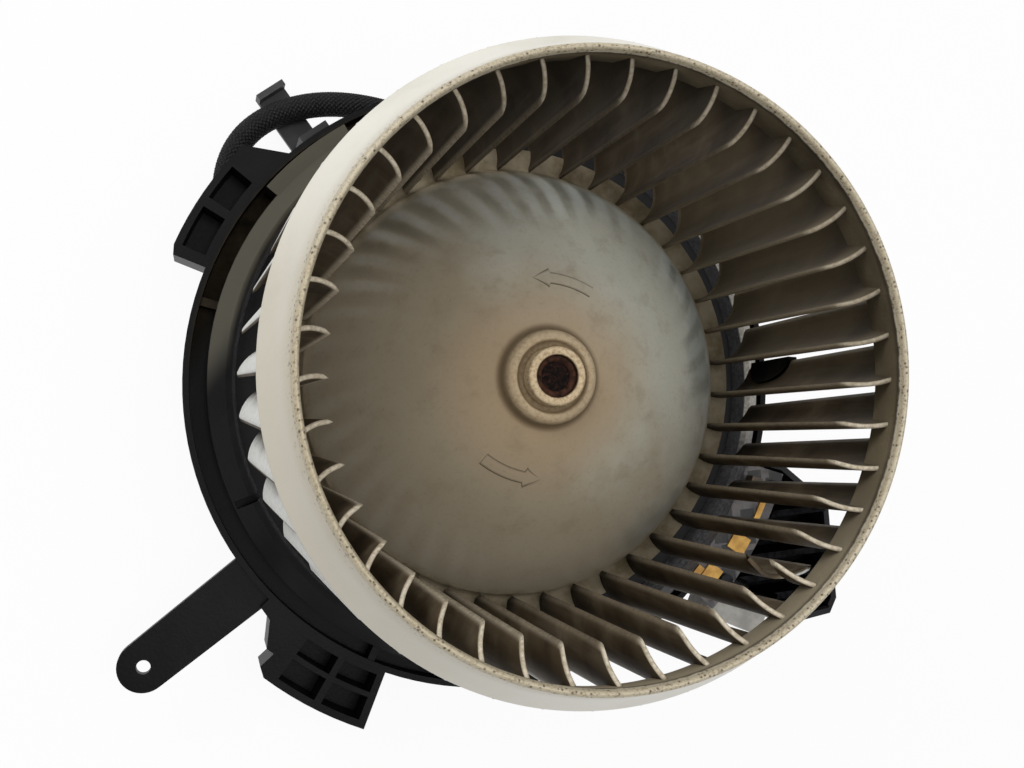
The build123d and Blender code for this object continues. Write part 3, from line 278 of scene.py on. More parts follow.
def blades_piece():
    """Forty-one blades, each turned on by one pitch. One blade lacks a span of its rows, with ragged ends
    z + 1.5 sin(8 u) mm. The marks give u, and 1 on the crown side."""
    points = blade_points()
    angle = BLADE_PITCH * np.arange(BLADE_COUNT)[:, None, None]
    x, y, z = points[..., 0], points[..., 1], points[..., 2]
    turned = np.stack([x * np.cos(angle) - y * np.sin(angle), x * np.sin(angle) + y * np.cos(angle),
                       z + 0 * angle], -1)
    u = np.linspace(0, 1, BLADE_ACROSS)
    u = np.concatenate([u, u[-2:0:-1]])
    crown = (np.arange(len(u)) > 0) & (np.arange(len(u)) < BLADE_ACROSS - 1)
    for row in BREAK:
        turned[BROKEN_BLADE, :, row, 2] += RAGGED * np.sin(8 * u)
    size = len(u) * BLADE_ROWS
    others = np.delete(np.arange(BLADE_COUNT), BROKEN_BLADE)[:, None, None]
    whole = blade_faces(((0, BLADE_ROWS - 1),)) + size * others
    broken = blade_faces(((0, BREAK[0]), (BREAK[1], BLADE_ROWS - 1))) + size * BROKEN_BLADE
    used, faces = np.unique(np.concatenate([whole.reshape(-1, 4), broken]), return_inverse=True)
    marks = {name: np.tile(np.repeat(values, BLADE_ROWS), BLADE_COUNT)[used]
             for name, values in (("across", u), ("crown", crown))}
    return solid_from("wheel_blade_set", turned.reshape(-1, 3)[used], faces.reshape(-1, 4), marks)


def dome_height(radius):
    """Height of the dome's face at a radius, both in millimetres, from the circle through its three points."""
    fine = arc_through(DOME_ARC, 400)
    return np.interp(radius, fine[:, 0], fine[:, 1])


def arrow_piece():
    """Two moulded arrows that show the way of turning: curved bands on the dome with a head that narrows to a
    point; radius = middle +- half width(s), angle = start + sweep s, height = dome's + up to 0.36 mm."""
    steps = 40
    s = np.linspace(0, 1, steps)
    half = np.where(s < ARROW_NECK, ARROW_BAND, ARROW_HEAD * (1 - s) / (1 - ARROW_NECK) + 0.02)
    half[np.argmax(s >= ARROW_NECK)] = ARROW_HEAD
    across = np.array([-1.0, -0.84, 0, 0.84, 1.0])
    lift = np.array([-0.5, 0.32, 0.36, 0.32, -0.5])
    radius = ARROW_RADIUS + across * half[:, None]
    height = dome_height(radius) + lift
    index = np.arange(radius.size).reshape(radius.shape)
    ends = np.array([index[0, [0, 4, 3, 1]], index[-1, [0, 1, 3, 4]]])
    under = np.stack([index[:-1, 0], index[1:, 0], index[1:, 4], index[:-1, 4]], -1)
    faces = np.concatenate([cells_of(index.T), ends, under])
    points = [around(radius, radians(start) + radians(sweep) * s[:, None], height).reshape(-1, 3) * MM
              for start, sweep in ARROW_TURNS]
    rim = np.tile([1.0, 0.75, 0.0, 0.75, 1.0], 2 * steps)
    return solid_from("turning_arrows", np.concatenate(points), np.concatenate([faces, faces + index.size]),
                      {"rim": rim}, smooth=False)


def rust_piece():
    """Rusted end of the shaft in the bore: a disc whose height is a sum of sines of x and y, like a crust."""
    reach, level = 5.4, 96.5
    ring = np.linspace(0.02, 1, 16)[:, None]
    angle = np.linspace(0, 2 * np.pi, 72, endpoint=False)
    x, y = reach * ring * np.cos(angle), reach * ring * np.sin(angle)
    bumps = (np.sin(2.9 * x + 1.3 * y) + np.sin(3.7 * y - 1.9 * x + 1) + 0.7 * np.sin(6.1 * x + 5.3 * y)
             + 0.6 * np.sin(8.3 * y - 7.1 * x))
    height = level + 0.16 * bumps + 0.8 * ring ** 6
    return grid_mesh("rust_crust", np.stack([x, y, height], -1) * MM, False, True)


def lead_path():
    """Points along the lead's middle line: a quadratic B-spline through its route, sampled by Blender."""
    curve = bpy.data.curves.new("lead_route", "CURVE")
    curve.dimensions = "3D"
    curve.resolution_u = 40
    spline = curve.splines.new("NURBS")
    spline.points.add(len(LEAD_ROUTE) - 1)
    flat = np.c_[np.array(LEAD_ROUTE) * MM, np.ones(len(LEAD_ROUTE))]
    spline.points.foreach_set("co", flat.ravel())
    spline.order_u = 3
    spline.use_endpoint_u = True
    holder = bpy.data.objects.new("lead_route", curve)
    bpy.context.scene.collection.objects.link(holder)
    line = bpy.data.meshes.new_from_object(holder)
    path = np.empty(len(line.vertices) * 3)
    line.vertices.foreach_get("co", path)
    bpy.data.objects.remove(holder)
    return path.reshape(-1, 3)


def lead_piece():
    """Braided sleeve: a tube along the lead's route. Two families of strands wind both ways round it,
    a = strands v + s / pitch and b = strands v - s / pitch. The strand that passes over in a cell gives
    ridge = |sin(pi a)| (0.55 + 0.45 |sin(pi b)|), or the same with a and b changed over, and
    radius = R (0.93 + 0.09 ridge)."""
    path = lead_path()
    rings, sides = 1080, 80
    walk = np.r_[0, np.cumsum(np.linalg.norm(np.diff(path, axis=0), axis=1))]
    s = np.linspace(0, walk[-1], rings)[:, None]
    v = np.linspace(0, 1, sides, endpoint=False)
    centre = np.hstack([np.interp(s, walk, path[:, k]) for k in range(3)])
    ahead = unit(np.gradient(centre, axis=0))
    side = unit(np.cross(ahead, [0, 0, 1.0]))
    rise = np.cross(side, ahead)
    pitch = 2 * np.pi * LEAD_RADIUS / STRANDS
    a, b = STRANDS * v + s / pitch, STRANDS * v - s / pitch
    over = (np.floor(a) + np.floor(b)) % 2 < 0.5
    ridge_a, ridge_b = np.abs(np.sin(np.pi * a)), np.abs(np.sin(np.pi * b))
    ridge = np.where(over, ridge_a * (0.55 + 0.45 * ridge_b), ridge_b * (0.55 + 0.45 * ridge_a))
    radius = LEAD_RADIUS * (0.93 + 0.09 * ridge)
    points = (centre[:, None] + side[:, None] * (radius * np.cos(2 * np.pi * v))[..., None]
              + rise[:, None] * (radius * np.sin(2 * np.pi * v))[..., None])
    # both ends drawn in to the middle line
    points = np.concatenate([np.repeat(centre[:1, None], sides, 1), points,
                             np.repeat(centre[-1:, None], sides, 1)])
    return grid_mesh("braided_sleeve", points, False, True, {"ridge": np.pad(ridge, ((1, 1), (0, 0)))})


# Shading: x, y, radius and height in metres about the wheel's axis, amounts from 0 to 1

def put(tree, kind, inputs=None, **settings):
    """Adds a node, sets its properties, and links or sets its inputs."""
    node = tree.nodes.new(kind)
    for name, value in settings.items():
        setattr(node, name, value)
    feed(tree, node, inputs or {})
    return node


def feed(tree, node, inputs):
    """Links a node's inputs to sockets, or sets them to values."""
    for name, value in inputs.items():
        if isinstance(value, bpy.types.NodeSocket):
            tree.links.new(value, node.inputs[name])
        else:
            node.inputs[name].default_value = value


def calc(tree, operation, a, b=0.0):
    """Output of a Math node."""
    return put(tree, "ShaderNodeMath", {0: a, 1: b}, operation=operation).outputs[0]


def times(tree, a, b):
    """Product of two values."""
    return calc(tree, "MULTIPLY", a, b)


def plus(tree, a, b):
    """Sum of two values."""
    return calc(tree, "ADD", a, b)


def minus(tree, a, b):
    """First value less the second."""
    return calc(tree, "SUBTRACT", a, b)


def axes_of(tree, vector):
    """The three parts of a vector."""
    return put(tree, "ShaderNodeSeparateXYZ", {0: vector}).outputs


def weigh(tree, a, share_a, b, share_b):
    """share_a a + share_b b; with X and Y, the distance along a direction across the wheel."""
    return plus(tree, times(tree, a, share_a), times(tree, b, share_b))


def radius_of(tree, x, y):
    """Distance from the wheel's axis, sqrt(x x + y y)."""
    return calc(tree, "SQRT", plus(tree, times(tree, x, x), times(tree, y, y)))


def mark(tree, name):
    """Value of a mesh attribute."""
    return put(tree, "ShaderNodeAttribute", attribute_name=name).outputs["Fac"]


def blend_colours(tree, amount, first, second):
    """Colour between two colours by an amount."""
    return put(tree, "ShaderNodeMix", {0: amount, 6: first, 7: second}, data_type="RGBA").outputs[2]


def layer(tree, colour, amount, strength, code):
    """Colour with a tint laid over it, by the amount times the strength."""
    return blend_colours(tree, times(tree, amount, strength), colour, tint(code))


def ramp(tree, factor, stops):
    """Eased colour ramp through (place, colour code) stops."""
    node = put(tree, "ShaderNodeValToRGB", {"Fac": factor})
    node.color_ramp.interpolation = "EASE"
    elements = node.color_ramp.elements
    while len(elements) < len(stops):
        elements.new(0.5)
    for element, (place, code) in zip(elements, stops):
        element.position = place
        element.color = tint(code)
    return node.outputs[0]


def between(tree, value, low, high):
    """Smooth step of a value from 0 at low to 1 at high."""
    node = put(tree, "ShaderNodeMapRange", {"Value": value, "From Min": low, "From Max": high},
               interpolation_type="SMOOTHSTEP")
    return node.outputs["Result"]


def noise(tree, vector, scale, detail=4.0, rough=0.55):
    """Value of a noise texture."""
    return put(tree, "ShaderNodeTexNoise",
               {"Vector": vector, "Scale": scale, "Detail": detail, "Roughness": rough}).outputs[0]


def looks_up(tree):
    """How far a face looks up, where dust can settle: a smooth step of its normal's Z from 0.2 to 0.9."""
    return between(tree, axes_of(tree, put(tree, "ShaderNodeNewGeometry").outputs["Normal"])[2], 0.2, 0.9)


def new_group(name, inputs, outputs):
    """Empty node group with a vector input Place, named float inputs with their values, and named outputs."""
    group = bpy.data.node_groups.new(name, "ShaderNodeTree")
    group.interface.new_socket("Place", in_out="INPUT", socket_type="NodeSocketVector")
    for title, value in inputs.items():
        group.interface.new_socket(title, in_out="INPUT", socket_type="NodeSocketFloat").default_value = value
    for title, kind in outputs.items():
        group.interface.new_socket(title, in_out="OUTPUT", socket_type="NodeSocket" + kind)
    return group, group.nodes.new("NodeGroupInput").outputs, group.nodes.new("NodeGroupOutput")


def around_axis_group():
    """Radius and height about the wheel's axis, and a vector that streaks along the radius:
    (fineness cos a, fineness sin a, 22 r)."""
    group, given, out = new_group("around_axis", {"Fineness": 9.0},
                                  {"Radius": "Float", "Height": "Float", "Streak": "Vector"})
    x, y, height = axes_of(group, given["Place"])
    radius = radius_of(group, x, y)
    safe = calc(group, "MAXIMUM", radius, 0.0005)
    cosine, sine = (times(group, calc(group, "DIVIDE", side, safe), given["Fineness"]) for side in (x, y))
    streak = put(group, "ShaderNodeCombineXYZ", {0: cosine, 1: sine, 2: times(group, radius, 22.0)}).outputs[0]
    feed(group, out, {"Radius": radius, "Height": height, "Streak": streak})
    return group


def dust_group():
    """Mask of settled dust: cloudy patches broken up by fine grain, more of it as Amount grows."""
    group, given, out = new_group("settled_dust", {"Patch": 40.0, "Grain": 900.0, "Amount": 0.5},
                                  {"Mask": "Float"})
    cloud = noise(group, given["Place"], given["Patch"], detail=5.0, rough=0.6)
    grain = noise(group, given["Place"], given["Grain"], detail=3.0, rough=0.7)
    both = weigh(group, cloud, 0.72, grain, 0.28)
    low = minus(group, 0.78, times(group, given["Amount"], 0.6))
    feed(group, out, {"Mask": between(group, both, low, plus(group, low, 0.22))})
    return group


def speck_group():
    """Mask of small dark specks: the middles of some cells of a cell texture."""
    group, given, out = new_group("specks", {"Scale": 500.0, "Amount": 0.4}, {"Mask": "Float"})
    cells = put(group, "ShaderNodeTexVoronoi", {"Vector": given["Place"], "Scale": given["Scale"],
                                                "Randomness": 1.0}).outputs
    picked = calc(group, "LESS_THAN", axes_of(group, cells["Color"])[0], given["Amount"])
    feed(group, out, {"Mask": times(group, picked, between(group, cells["Distance"], 0.42, 0.16))})
    return group


def swirl_group():
    """Soft rays on the dome, one for each blade, swept a little round the axis: sin(41 (a - 7 (r - 0.0637)))."""
    group, given, out = new_group("swept_rays", {"Shift": 0.0}, {"Ray": "Float"})
    x, y = axes_of(group, given["Place"])[:2]
    turn = calc(group, "ARCTAN2", y, x)
    sweep = times(group, minus(group, radius_of(group, x, y), DOME_EDGE), 7.0)
    phase = plus(group, times(group, minus(group, turn, sweep), float(BLADE_COUNT)), given["Shift"])
    feed(group, out, {"Ray": calc(group, "SINE", phase)})
    return group


AROUND_AXIS = around_axis_group()
SETTLED_DUST = dust_group()
SPECKS = speck_group()
SWEPT_RAYS = swirl_group()


def use_group(tree, group, inputs):
    """Outputs of a shared effect placed in a material."""
    return put(tree, "ShaderNodeGroup", inputs, node_tree=group).outputs


def settled_dust(tree, place, patch, grain, amount):
    """Mask of settled dust."""
    return use_group(tree, SETTLED_DUST,
                     {"Place": place, "Patch": patch, "Grain": grain, "Amount": amount})["Mask"]


def new_material(name, metallic=0.0, roughness=0.5, specular=0.5):
    """Material with its Principled shader, and the object's coordinates."""
    material = bpy.data.materials.new(name)
    material.use_nodes = True
    tree = material.node_tree
    shader = tree.nodes["Principled BSDF"]
    feed(tree, shader, {"Metallic": metallic, "Roughness": roughness, "Specular IOR Level": specular})
    return material, tree, shader, put(tree, "ShaderNodeTexCoord").outputs["Object"]


def finish(tree, shader, colour, bumps, strength, depth, **others):
    """Links the colour, a bump from a height of the given depth, and any other value into the shader."""
    normal = put(tree, "ShaderNodeBump", {"Height": bumps, "Strength": strength, "Distance": depth})
    feed(tree, shader, {"Base Color": colour, "Normal": normal.outputs[0], **others})


def ring_material():
    """Off-white moulding outside, with painted shade at the left; brown dust inside, with painted shade at the
    upper right and painted light below; dark specks along the lip.
    """
    material, tree, shader, place = new_material("ring_plastic", roughness=0.42)
    axis = use_group(tree, AROUND_AXIS, {"Place": place})
    radius, height = axis["Radius"], axis["Height"]
    cloud = noise(tree, place, 28.0, detail=5.0)
    fine = noise(tree, place, 420.0, detail=4.0)
    dust = settled_dust(tree, place, patch=55.0, grain=1500.0, amount=0.55)
    x, y = axes_of(tree, place)[:2]
    clean = ramp(tree, cloud, [(0.25, "#cbc7ba"), (0.5, "#dad7cc"), (0.8, "#e6e4dc")])
    # painted shade: yellower and duller at the left
    painted_shade_left = between(tree, weigh(tree, x, -0.93, y, -0.3), 0.03, 0.078)
    clean = layer(tree, clean, painted_shade_left, 0.6, "#b3a994")
    # more beige towards the lip
    beige = weigh(tree, between(tree, height, 0.1405, 0.146), 0.4, between(tree, height, 0.1458, 0.1472), 0.45)
    clean = blend_colours(tree, beige, clean, tint("#ada084"))
    stain = ramp(tree, fine, [(0.35, "#5b4a30"), (0.65, "#9a8b6c")])
    # dirt inside, with painted shade at the upper right and painted light below
    dirt_light_and_shade = ramp(tree, cloud, [(0.3, "#4f442f"), (0.55, "#74684f"), (0.8, "#958a73")])
    painted_shade_upper_right = between(tree, weigh(tree, x, 0.8, y, 0.6), 0.02, 0.065)
    dirt_light_and_shade = layer(tree, dirt_light_and_shade, painted_shade_upper_right, 0.45, "#2c2113")
    # painted light: paler below
    low = between(tree, y, -0.02, -0.06)
    dirt_light_and_shade = layer(tree, dirt_light_and_shade, low, 0.6, "#b3a78f")
    # how far a place lies outside the wall's slanted inner face, ragged by fine noise
    outward = minus(tree, radius, plus(tree, LIP_RADIUS, times(tree, minus(tree, LIP_TOP, height), 0.28)))
    ragged = plus(tree, outward, times(tree, minus(tree, fine, 0.5), 0.0012))
    inside = times(tree, between(tree, ragged, 0.0005, -0.0002),
                   between(tree, plus(tree, height, times(tree, fine, 0.0012)), 0.1472, 0.1464))
    colour = blend_colours(tree, inside, clean, dirt_light_and_shade)
    # crust on the lip, a dark line under it, and specks
    grit = noise(tree, place, 1500.0, detail=3.0, rough=0.7)
    lip = times(tree, between(tree, height, 0.1458, 0.1474), between(tree, grit, 0.48, 0.62))
    colour = blend_colours(tree, times(tree, lip, 0.6), colour, stain)
    line = times(tree, between(tree, height, 0.144, 0.1458), inside)
    colour = layer(tree, colour, line, 0.7, "#241a0f")
    specks = use_group(tree, SPECKS, {"Place": place, "Scale": 950.0, "Amount": 0.5})["Mask"]
    near_lip = between(tree, height, 0.1425, 0.148)
    colour = layer(tree, colour, times(tree, specks, near_lip), 0.85, "#3a2b16")
    colour = layer(tree, colour, times(tree, dust, inside), 0.5, "#857a64")
    finish(tree, shader, colour, fine, strength=0.25, depth=0.0004,
           Roughness=plus(tree, 0.38, times(tree, inside, 0.4)))
    return material


def dome_material():
    """Grey-brown dust over pale moulding: painted light makes it paler and greener to the upper right and gives a
    slightly paler band inside the edge below; painted shade darkens the upper left, the hub's groove and moat, and
    the arrows' edges; warm round the hub, soft pale rays between the blades at the top, and brown dust on the
    plate."""
    material, tree, shader, place = new_material("dome_plastic", roughness=0.75, specular=0.2)
    axis = use_group(tree, AROUND_AXIS, {"Place": place, "Fineness": 14.0})
    radius, height = axis["Radius"], axis["Height"]
    x, y = axes_of(tree, place)[:2]
    cloud = noise(tree, place, 38.0, detail=4.0, rough=0.5)
    blotch = noise(tree, place, 120.0, detail=5.0, rough=0.6)
    fine = noise(tree, place, 900.0, detail=4.0, rough=0.7)
    streaks = noise(tree, axis["Streak"], 1.0, detail=3.0, rough=0.5)
    rays = use_group(tree, SWEPT_RAYS, {"Place": place, "Shift": times(tree, blotch, 2.0)})
    # dust colour, made paler along a slope to the upper right as painted light, and warm round the hub
    slope = weigh(tree, x, 5.6, y, 3.2)
    slope = plus(tree, plus(tree, 0.24, slope), times(tree, cloud, 0.5))
    colour = ramp(tree, slope, [(0.0, "#8b806c"), (0.42, "#958a75"), (0.72, "#aeada0"), (1.0, "#c9cdc6")])
    middle = between(tree, radius, 0.04, 0.014)
    colour = layer(tree, colour, middle, 0.7, "#a58e70")
    colour = layer(tree, colour, between(tree, blotch, 0.5, 0.72), 0.3, "#7a6c57")
    # rays from the edge inwards, strongest at the top
    upper = between(tree, weigh(tree, x, 0.34, y, 0.94), -0.01, 0.05)
    ring_place = plus(tree, radius, times(tree, minus(tree, streaks, 0.5), 0.012))
    band = times(tree, between(tree, ring_place, 0.041, 0.055), between(tree, radius, 0.0635, 0.0605))
    uneven = between(tree, cloud, 0.35, 0.62)
    ray_amount = times(tree, times(tree, band, uneven), plus(tree, 0.12, times(tree, upper, 0.88)))
    pale = times(tree, ray_amount, between(tree, rays["Ray"], -0.3, 1.0))
    dark = times(tree, ray_amount, between(tree, rays["Ray"], 0.3, -1.0))
    colour = layer(tree, colour, pale, 0.45, "#c9cdcb")
    colour = layer(tree, colour, dark, 0.5, "#4f4a40")
    # painted shade at the upper left, a darker band inside the edge below, painted light paler towards the lower
    # edge, and a bluish band at the right
    shade = times(tree, between(tree, y, 0.028, 0.056), between(tree, x, 0.022, -0.006))
    colour = layer(tree, colour, shade, 0.55, "#5d5648")
    lower = times(tree, between(tree, y, 0.015, -0.045),
                  times(tree, between(tree, ring_place, 0.048, 0.056), between(tree, radius, 0.063, 0.058)))
    colour = layer(tree, colour, lower, 0.12, "#6c6250")
    painted_light_low_edge = times(tree, between(tree, y, 0.0, -0.05), between(tree, radius, 0.04, 0.06))
    colour = layer(tree, colour, painted_light_low_edge, 0.25, "#b9ad99")
    blue = times(tree, times(tree, between(tree, x, 0.01, 0.04), between(tree, ring_place, 0.042, 0.055)),
                 between(tree, cloud, 0.45, 0.6))
    colour = layer(tree, colour, blue, 0.5, "#6d7068")
    # brown dust on the plate, a worn hub, and painted shade in the groove and the moat round it
    edge = between(tree, radius, 0.061, 0.064)
    edge_colour = ramp(tree, blotch, [(0.3, "#75684f"), (0.6, "#9c9079"), (0.8, "#b5aa95")])
    colour = blend_colours(tree, edge, colour, edge_colour)
    colour = layer(tree, colour, between(tree, fine, 0.5, 0.75), 0.16, "#57482f")
    hub_colour = ramp(tree, fine, [(0.3, "#a58c6a"), (0.6, "#d2be9c")])
    hub = weigh(tree, between(tree, radius, 0.014, 0.0125), 0.45, between(tree, radius, 0.0095, 0.0085), 0.55)
    colour = blend_colours(tree, hub, colour, hub_colour)
    painted_shade_groove = times(tree, between(tree, height, 0.0946, 0.0935), between(tree, radius, 0.0108, 0.0098))
    painted_shade_moat = times(tree, between(tree, radius, 0.0127, 0.0134), between(tree, radius, 0.0155, 0.0137))
    colour = layer(tree, colour, calc(tree, "MAXIMUM", painted_shade_groove, painted_shade_moat), 0.7, "#4f3d24")
    # painted shade along the arrows' edges, and rust in the bore
    rim = mark(tree, "rim")
    colour = layer(tree, colour, between(tree, rim, 0.45, 0.85), 0.75, "#3d3428")
    bore = between(tree, radius, 0.0061, 0.0056)
    colour = blend_colours(tree, bore, colour, ramp(tree, fine, [(0.35, "#160c08"), (0.7, "#4a2a1a")]))
    finish(tree, shader, colour, plus(tree, fine, times(tree, blotch, 0.8)), strength=0.15, depth=0.0003)
    return material


def blade_material():
    """Brown dust on the blades' hollow sides, with painted shade at the top and at the feet and painted light at
    the right; pale inner edges, partly worn and partly a painted highlight; and clean white where the crown side's
    outer part meets the air."""
    material, tree, shader, place = new_material("blade_plastic", roughness=0.66, specular=0.25)
    axis = use_group(tree, AROUND_AXIS, {"Place": place})
    radius, height = axis["Radius"], axis["Height"]
    across = mark(tree, "across")
    crown = mark(tree, "crown")
    x, y = axes_of(tree, place)[:2]
    cloud = noise(tree, place, 60.0, detail=5.0)
    fine = noise(tree, place, 900.0, detail=4.0)
    along_blade = put(tree, "ShaderNodeMapping", {"Vector": place, "Scale": (260.0, 260.0, 24.0)})
    lines = noise(tree, along_blade.outputs[0], 1.0, detail=3.0)
    brown = ramp(tree, cloud, [(0.25, "#3a2e20"), (0.5, "#5a4d3a"), (0.75, "#796c57")])
    brown = layer(tree, brown, between(tree, lines, 0.45, 0.7), 0.3, "#8b7f6c")
    # painted shade on the blades at the top, painted light at the right
    painted_shade_top = times(tree, between(tree, y, 0.04, 0.07), between(tree, x, 0.055, 0.02))
    brown = layer(tree, brown, painted_shade_top, 0.6, "#1d150c")
    right = times(tree, between(tree, x, 0.035, 0.065), between(tree, y, -0.02, 0.01))
    brown = layer(tree, brown, right, 0.55, "#81755f")
    # painted shade at the blades' feet
    painted_shade_foot = times(tree, between(tree, height, 0.074, 0.054), between(tree, y, 0.03, -0.01))
    brown = layer(tree, brown, painted_shade_foot, 0.75, "#110c07")
    # darker up near the ring
    corner = times(tree, between(tree, height, 0.114, 0.132), between(tree, radius, 0.067, 0.076))
    brown = layer(tree, brown, corner, 0.6, "#1a130b")
    # pale inner edge, partly wear and partly painted highlight, most on the slanted end and at the left
    inner = plus(tree, across, times(tree, minus(tree, fine, 0.5), 0.05))
    slanted = between(tree, height, 0.13, 0.134)
    left = between(tree, x, 0.0, -0.05)
    above = between(tree, weigh(tree, x, 0.3, y, 1.0), -0.015, 0.03)
    slanted = times(tree, slanted, minus(tree, 1.0, times(tree, above, 0.6)))
    wear_and_highlight = plus(tree, 0.18, times(tree, calc(tree, "MAXIMUM", slanted, left), 0.8))
    pale_edge = between(tree, inner, 0.1, 0.03)
    colour = blend_colours(tree, times(tree, pale_edge, wear_and_highlight), brown,
                           ramp(tree, fine, [(0.3, "#aa9d85"), (0.65, "#d5cab5")]))
    # clean white on the outer part of the crown side
    ragged = plus(tree, radius, times(tree, minus(tree, cloud, 0.5), 0.003))
    clean = times(tree, between(tree, ragged, 0.0762, 0.0798), between(tree, crown, 0.4, 0.6))
    white = ramp(tree, fine, [(0.3, "#c6c5bf"), (0.6, "#dcdcd8")])
    colour = blend_colours(tree, clean, colour, white)
    finish(tree, shader, colour, fine, strength=0.2, depth=0.0003)
    return material


def black_plastic(name, base="#070708", high="#111112", dusty=0.35, roughness=0.45):
    """Black moulding with faint mottling, fine grain, and brown dust on faces that look up."""
    material, tree, shader, place = new_material(name, roughness=roughness, specular=0.2)
    cloud = noise(tree, place, 45.0, detail=5.0)
    fine = noise(tree, place, 900.0, detail=3.0)
    dust = settled_dust(tree, place, patch=60.0, grain=1300.0, amount=dusty)
    colour = ramp(tree, cloud, [(0.3, base), (0.75, high)])
    amount = times(tree, dust, looks_up(tree))
    colour = layer(tree, colour, amount, 0.35, "#4b4437")
    finish(tree, shader, colour, fine, strength=0.15, depth=0.0002,
           Roughness=plus(tree, roughness, times(tree, amount, 0.35)))
    return material


def flange_material():
    """Black flange: caked brown dust in the upper left channel, grey dust on the raised pad there, a floor under
    the wheel darkened as painted shadow with a paler grey wall round it as painted light, and pale dust on the
    step's slope at the right."""
    material, tree, shader, place = new_material("flange_plastic", roughness=0.5, specular=0.12)
    axis = use_group(tree, AROUND_AXIS, {"Place": place})
    radius, height = axis["Radius"], axis["Height"]
    x, y = axes_of(tree, place)[:2]
    cloud = noise(tree, place, 50.0, detail=5.0)
    fine = noise(tree, place, 900.0, detail=3.0)
    up = looks_up(tree)
    dust = settled_dust(tree, place, patch=90.0, grain=1500.0, amount=0.36)
    colour = ramp(tree, cloud, [(0.3, "#050506"), (0.75, "#0e0e0f")])
    # distance along the direction of 138 degrees, where the channel is caked
    corner = weigh(tree, x, -0.743, y, 0.669)
    caked = times(tree, between(tree, corner, 0.074, 0.09),
                  times(tree, between(tree, radius, 0.0965, 0.0945), up))
    brown = ramp(tree, noise(tree, place, 130.0, detail=5.0),
                 [(0.3, "#19140c"), (0.55, "#332b1e"), (0.8, "#4d4434")])
    colour = blend_colours(tree, times(tree, caked, 0.85), colour, brown)
    # grey dust on the raised pad
    pad = times(tree, between(tree, height, 0.0375, 0.0384),
                times(tree, between(tree, radius, 0.083, 0.085), between(tree, corner, 0.068, 0.078)))
    colour = layer(tree, colour, pad, 0.85, "#57544a")
    # grey of the floor under the wheel and the wall round it, split by facing as painted light and shade: the floor
    # dark in painted shadow, the wall paler
    below = times(tree, between(tree, radius, 0.0832, 0.0824), between(tree, height, 0.034, 0.036))
    grey = ramp(tree, fine, [(0.3, "#807e82"), (0.7, "#a3a1a5")])
    grey = blend_colours(tree, up, grey, tint("#2c2b2d"))
    colour = blend_colours(tree, times(tree, below, 0.9), colour, grey)
    # dust on the step's slope, pale at the right and grey below that
    slope = times(tree, between(tree, height, 0.0377, 0.0386), between(tree, radius, 0.0826, 0.0832))
    right = times(tree, between(tree, x, 0.02, 0.06), between(tree, y, -0.034, -0.016))
    colour = blend_colours(tree, times(tree, times(tree, slope, right), 0.9), colour,
                           ramp(tree, fine, [(0.3, "#85817a"), (0.7, "#a9a49a")]))
    low_right = times(tree, between(tree, x, 0.02, 0.06), between(tree, y, -0.016, -0.034))
    colour = blend_colours(tree, times(tree, times(tree, slope, low_right), 0.6), colour,
                           ramp(tree, fine, [(0.3, "#2b2a2b"), (0.7, "#5a585a")]))
    colour = layer(tree, colour, times(tree, dust, up), 0.22, "#3b362d")
    finish(tree, shader, colour, plus(tree, fine, times(tree, caked, times(tree, cloud, 2.0))), strength=0.18,
           depth=0.0003, Roughness=plus(tree, 0.42, times(tree, calc(tree, "MAXIMUM", caked, pad), 0.4)))
    return material


def braid_material():
    """Black woven sleeve: grey painted highlights on the strands' tops, black between them."""
    material, tree, shader, place = new_material("woven_sleeve", roughness=0.6, specular=0.25)
    ridge = mark(tree, "ridge")
    fine = noise(tree, place, 1800.0, detail=2.0)
    lit = times(tree, between(tree, ridge, 0.45, 1.0), between(tree, fine, 0.3, 0.7))
    colour = blend_colours(tree, lit, tint("#060607"), tint("#2e2e2f"))
    finish(tree, shader, colour, plus(tree, ridge, times(tree, fine, 0.3)), strength=0.5, depth=0.0005)
    return material


def metal(name, low, high, roughness=0.35, rust=0.0, scale=300.0):
    """Worn metal: two tones by fine noise, and rust patches where asked."""
    material, tree, shader, place = new_material(name, metallic=1.0, roughness=roughness)
    grain = noise(tree, place, scale, detail=4.0)
    colour = ramp(tree, grain, [(0.3, low), (0.7, high)])
    if rust:
        mask = settled_dust(tree, place, patch=180.0, grain=1600.0, amount=rust)
        colour = blend_colours(tree, mask, colour, ramp(tree, grain, [(0.35, "#24130c"), (0.7, "#6a3d22")]))
        rough = plus(tree, roughness, times(tree, mask, 0.45))
        feed(tree, shader, {"Metallic": minus(tree, 1.0, mask), "Roughness": rough})
    finish(tree, shader, colour, grain, strength=0.1, depth=0.0002)
    return material


def dull(name, low, high, roughness=0.6, scale=200.0, grain=1.0, specular=0.4):
    """Plain dull surface: two tones by noise with a fine bump."""
    material, tree, shader, place = new_material(name, roughness=roughness, specular=specular)
    cloud = noise(tree, place, scale, detail=5.0)
    colour = ramp(tree, cloud, [(0.3, low), (0.7, high)])
    finish(tree, shader, colour, noise(tree, place, scale * 6, detail=3.0), strength=0.15 * grain, depth=0.0002)
    return material


def windings_material():
    """Copper wire ends: fine bands round the axis by a wave of the radius, with lacquer gloss."""
    material, tree, shader, place = new_material("copper_wire", metallic=0.9, roughness=0.32)
    radius = use_group(tree, AROUND_AXIS, {"Place": place})["Radius"]
    bands = calc(tree, "SINE", times(tree, radius, 9000.0))
    colour = ramp(tree, plus(tree, 0.5, times(tree, bands, 0.5)), [(0.2, "#4a2411"), (0.7, "#b0673a")])
    finish(tree, shader, colour, bands, strength=0.4, depth=0.0003)
    return material


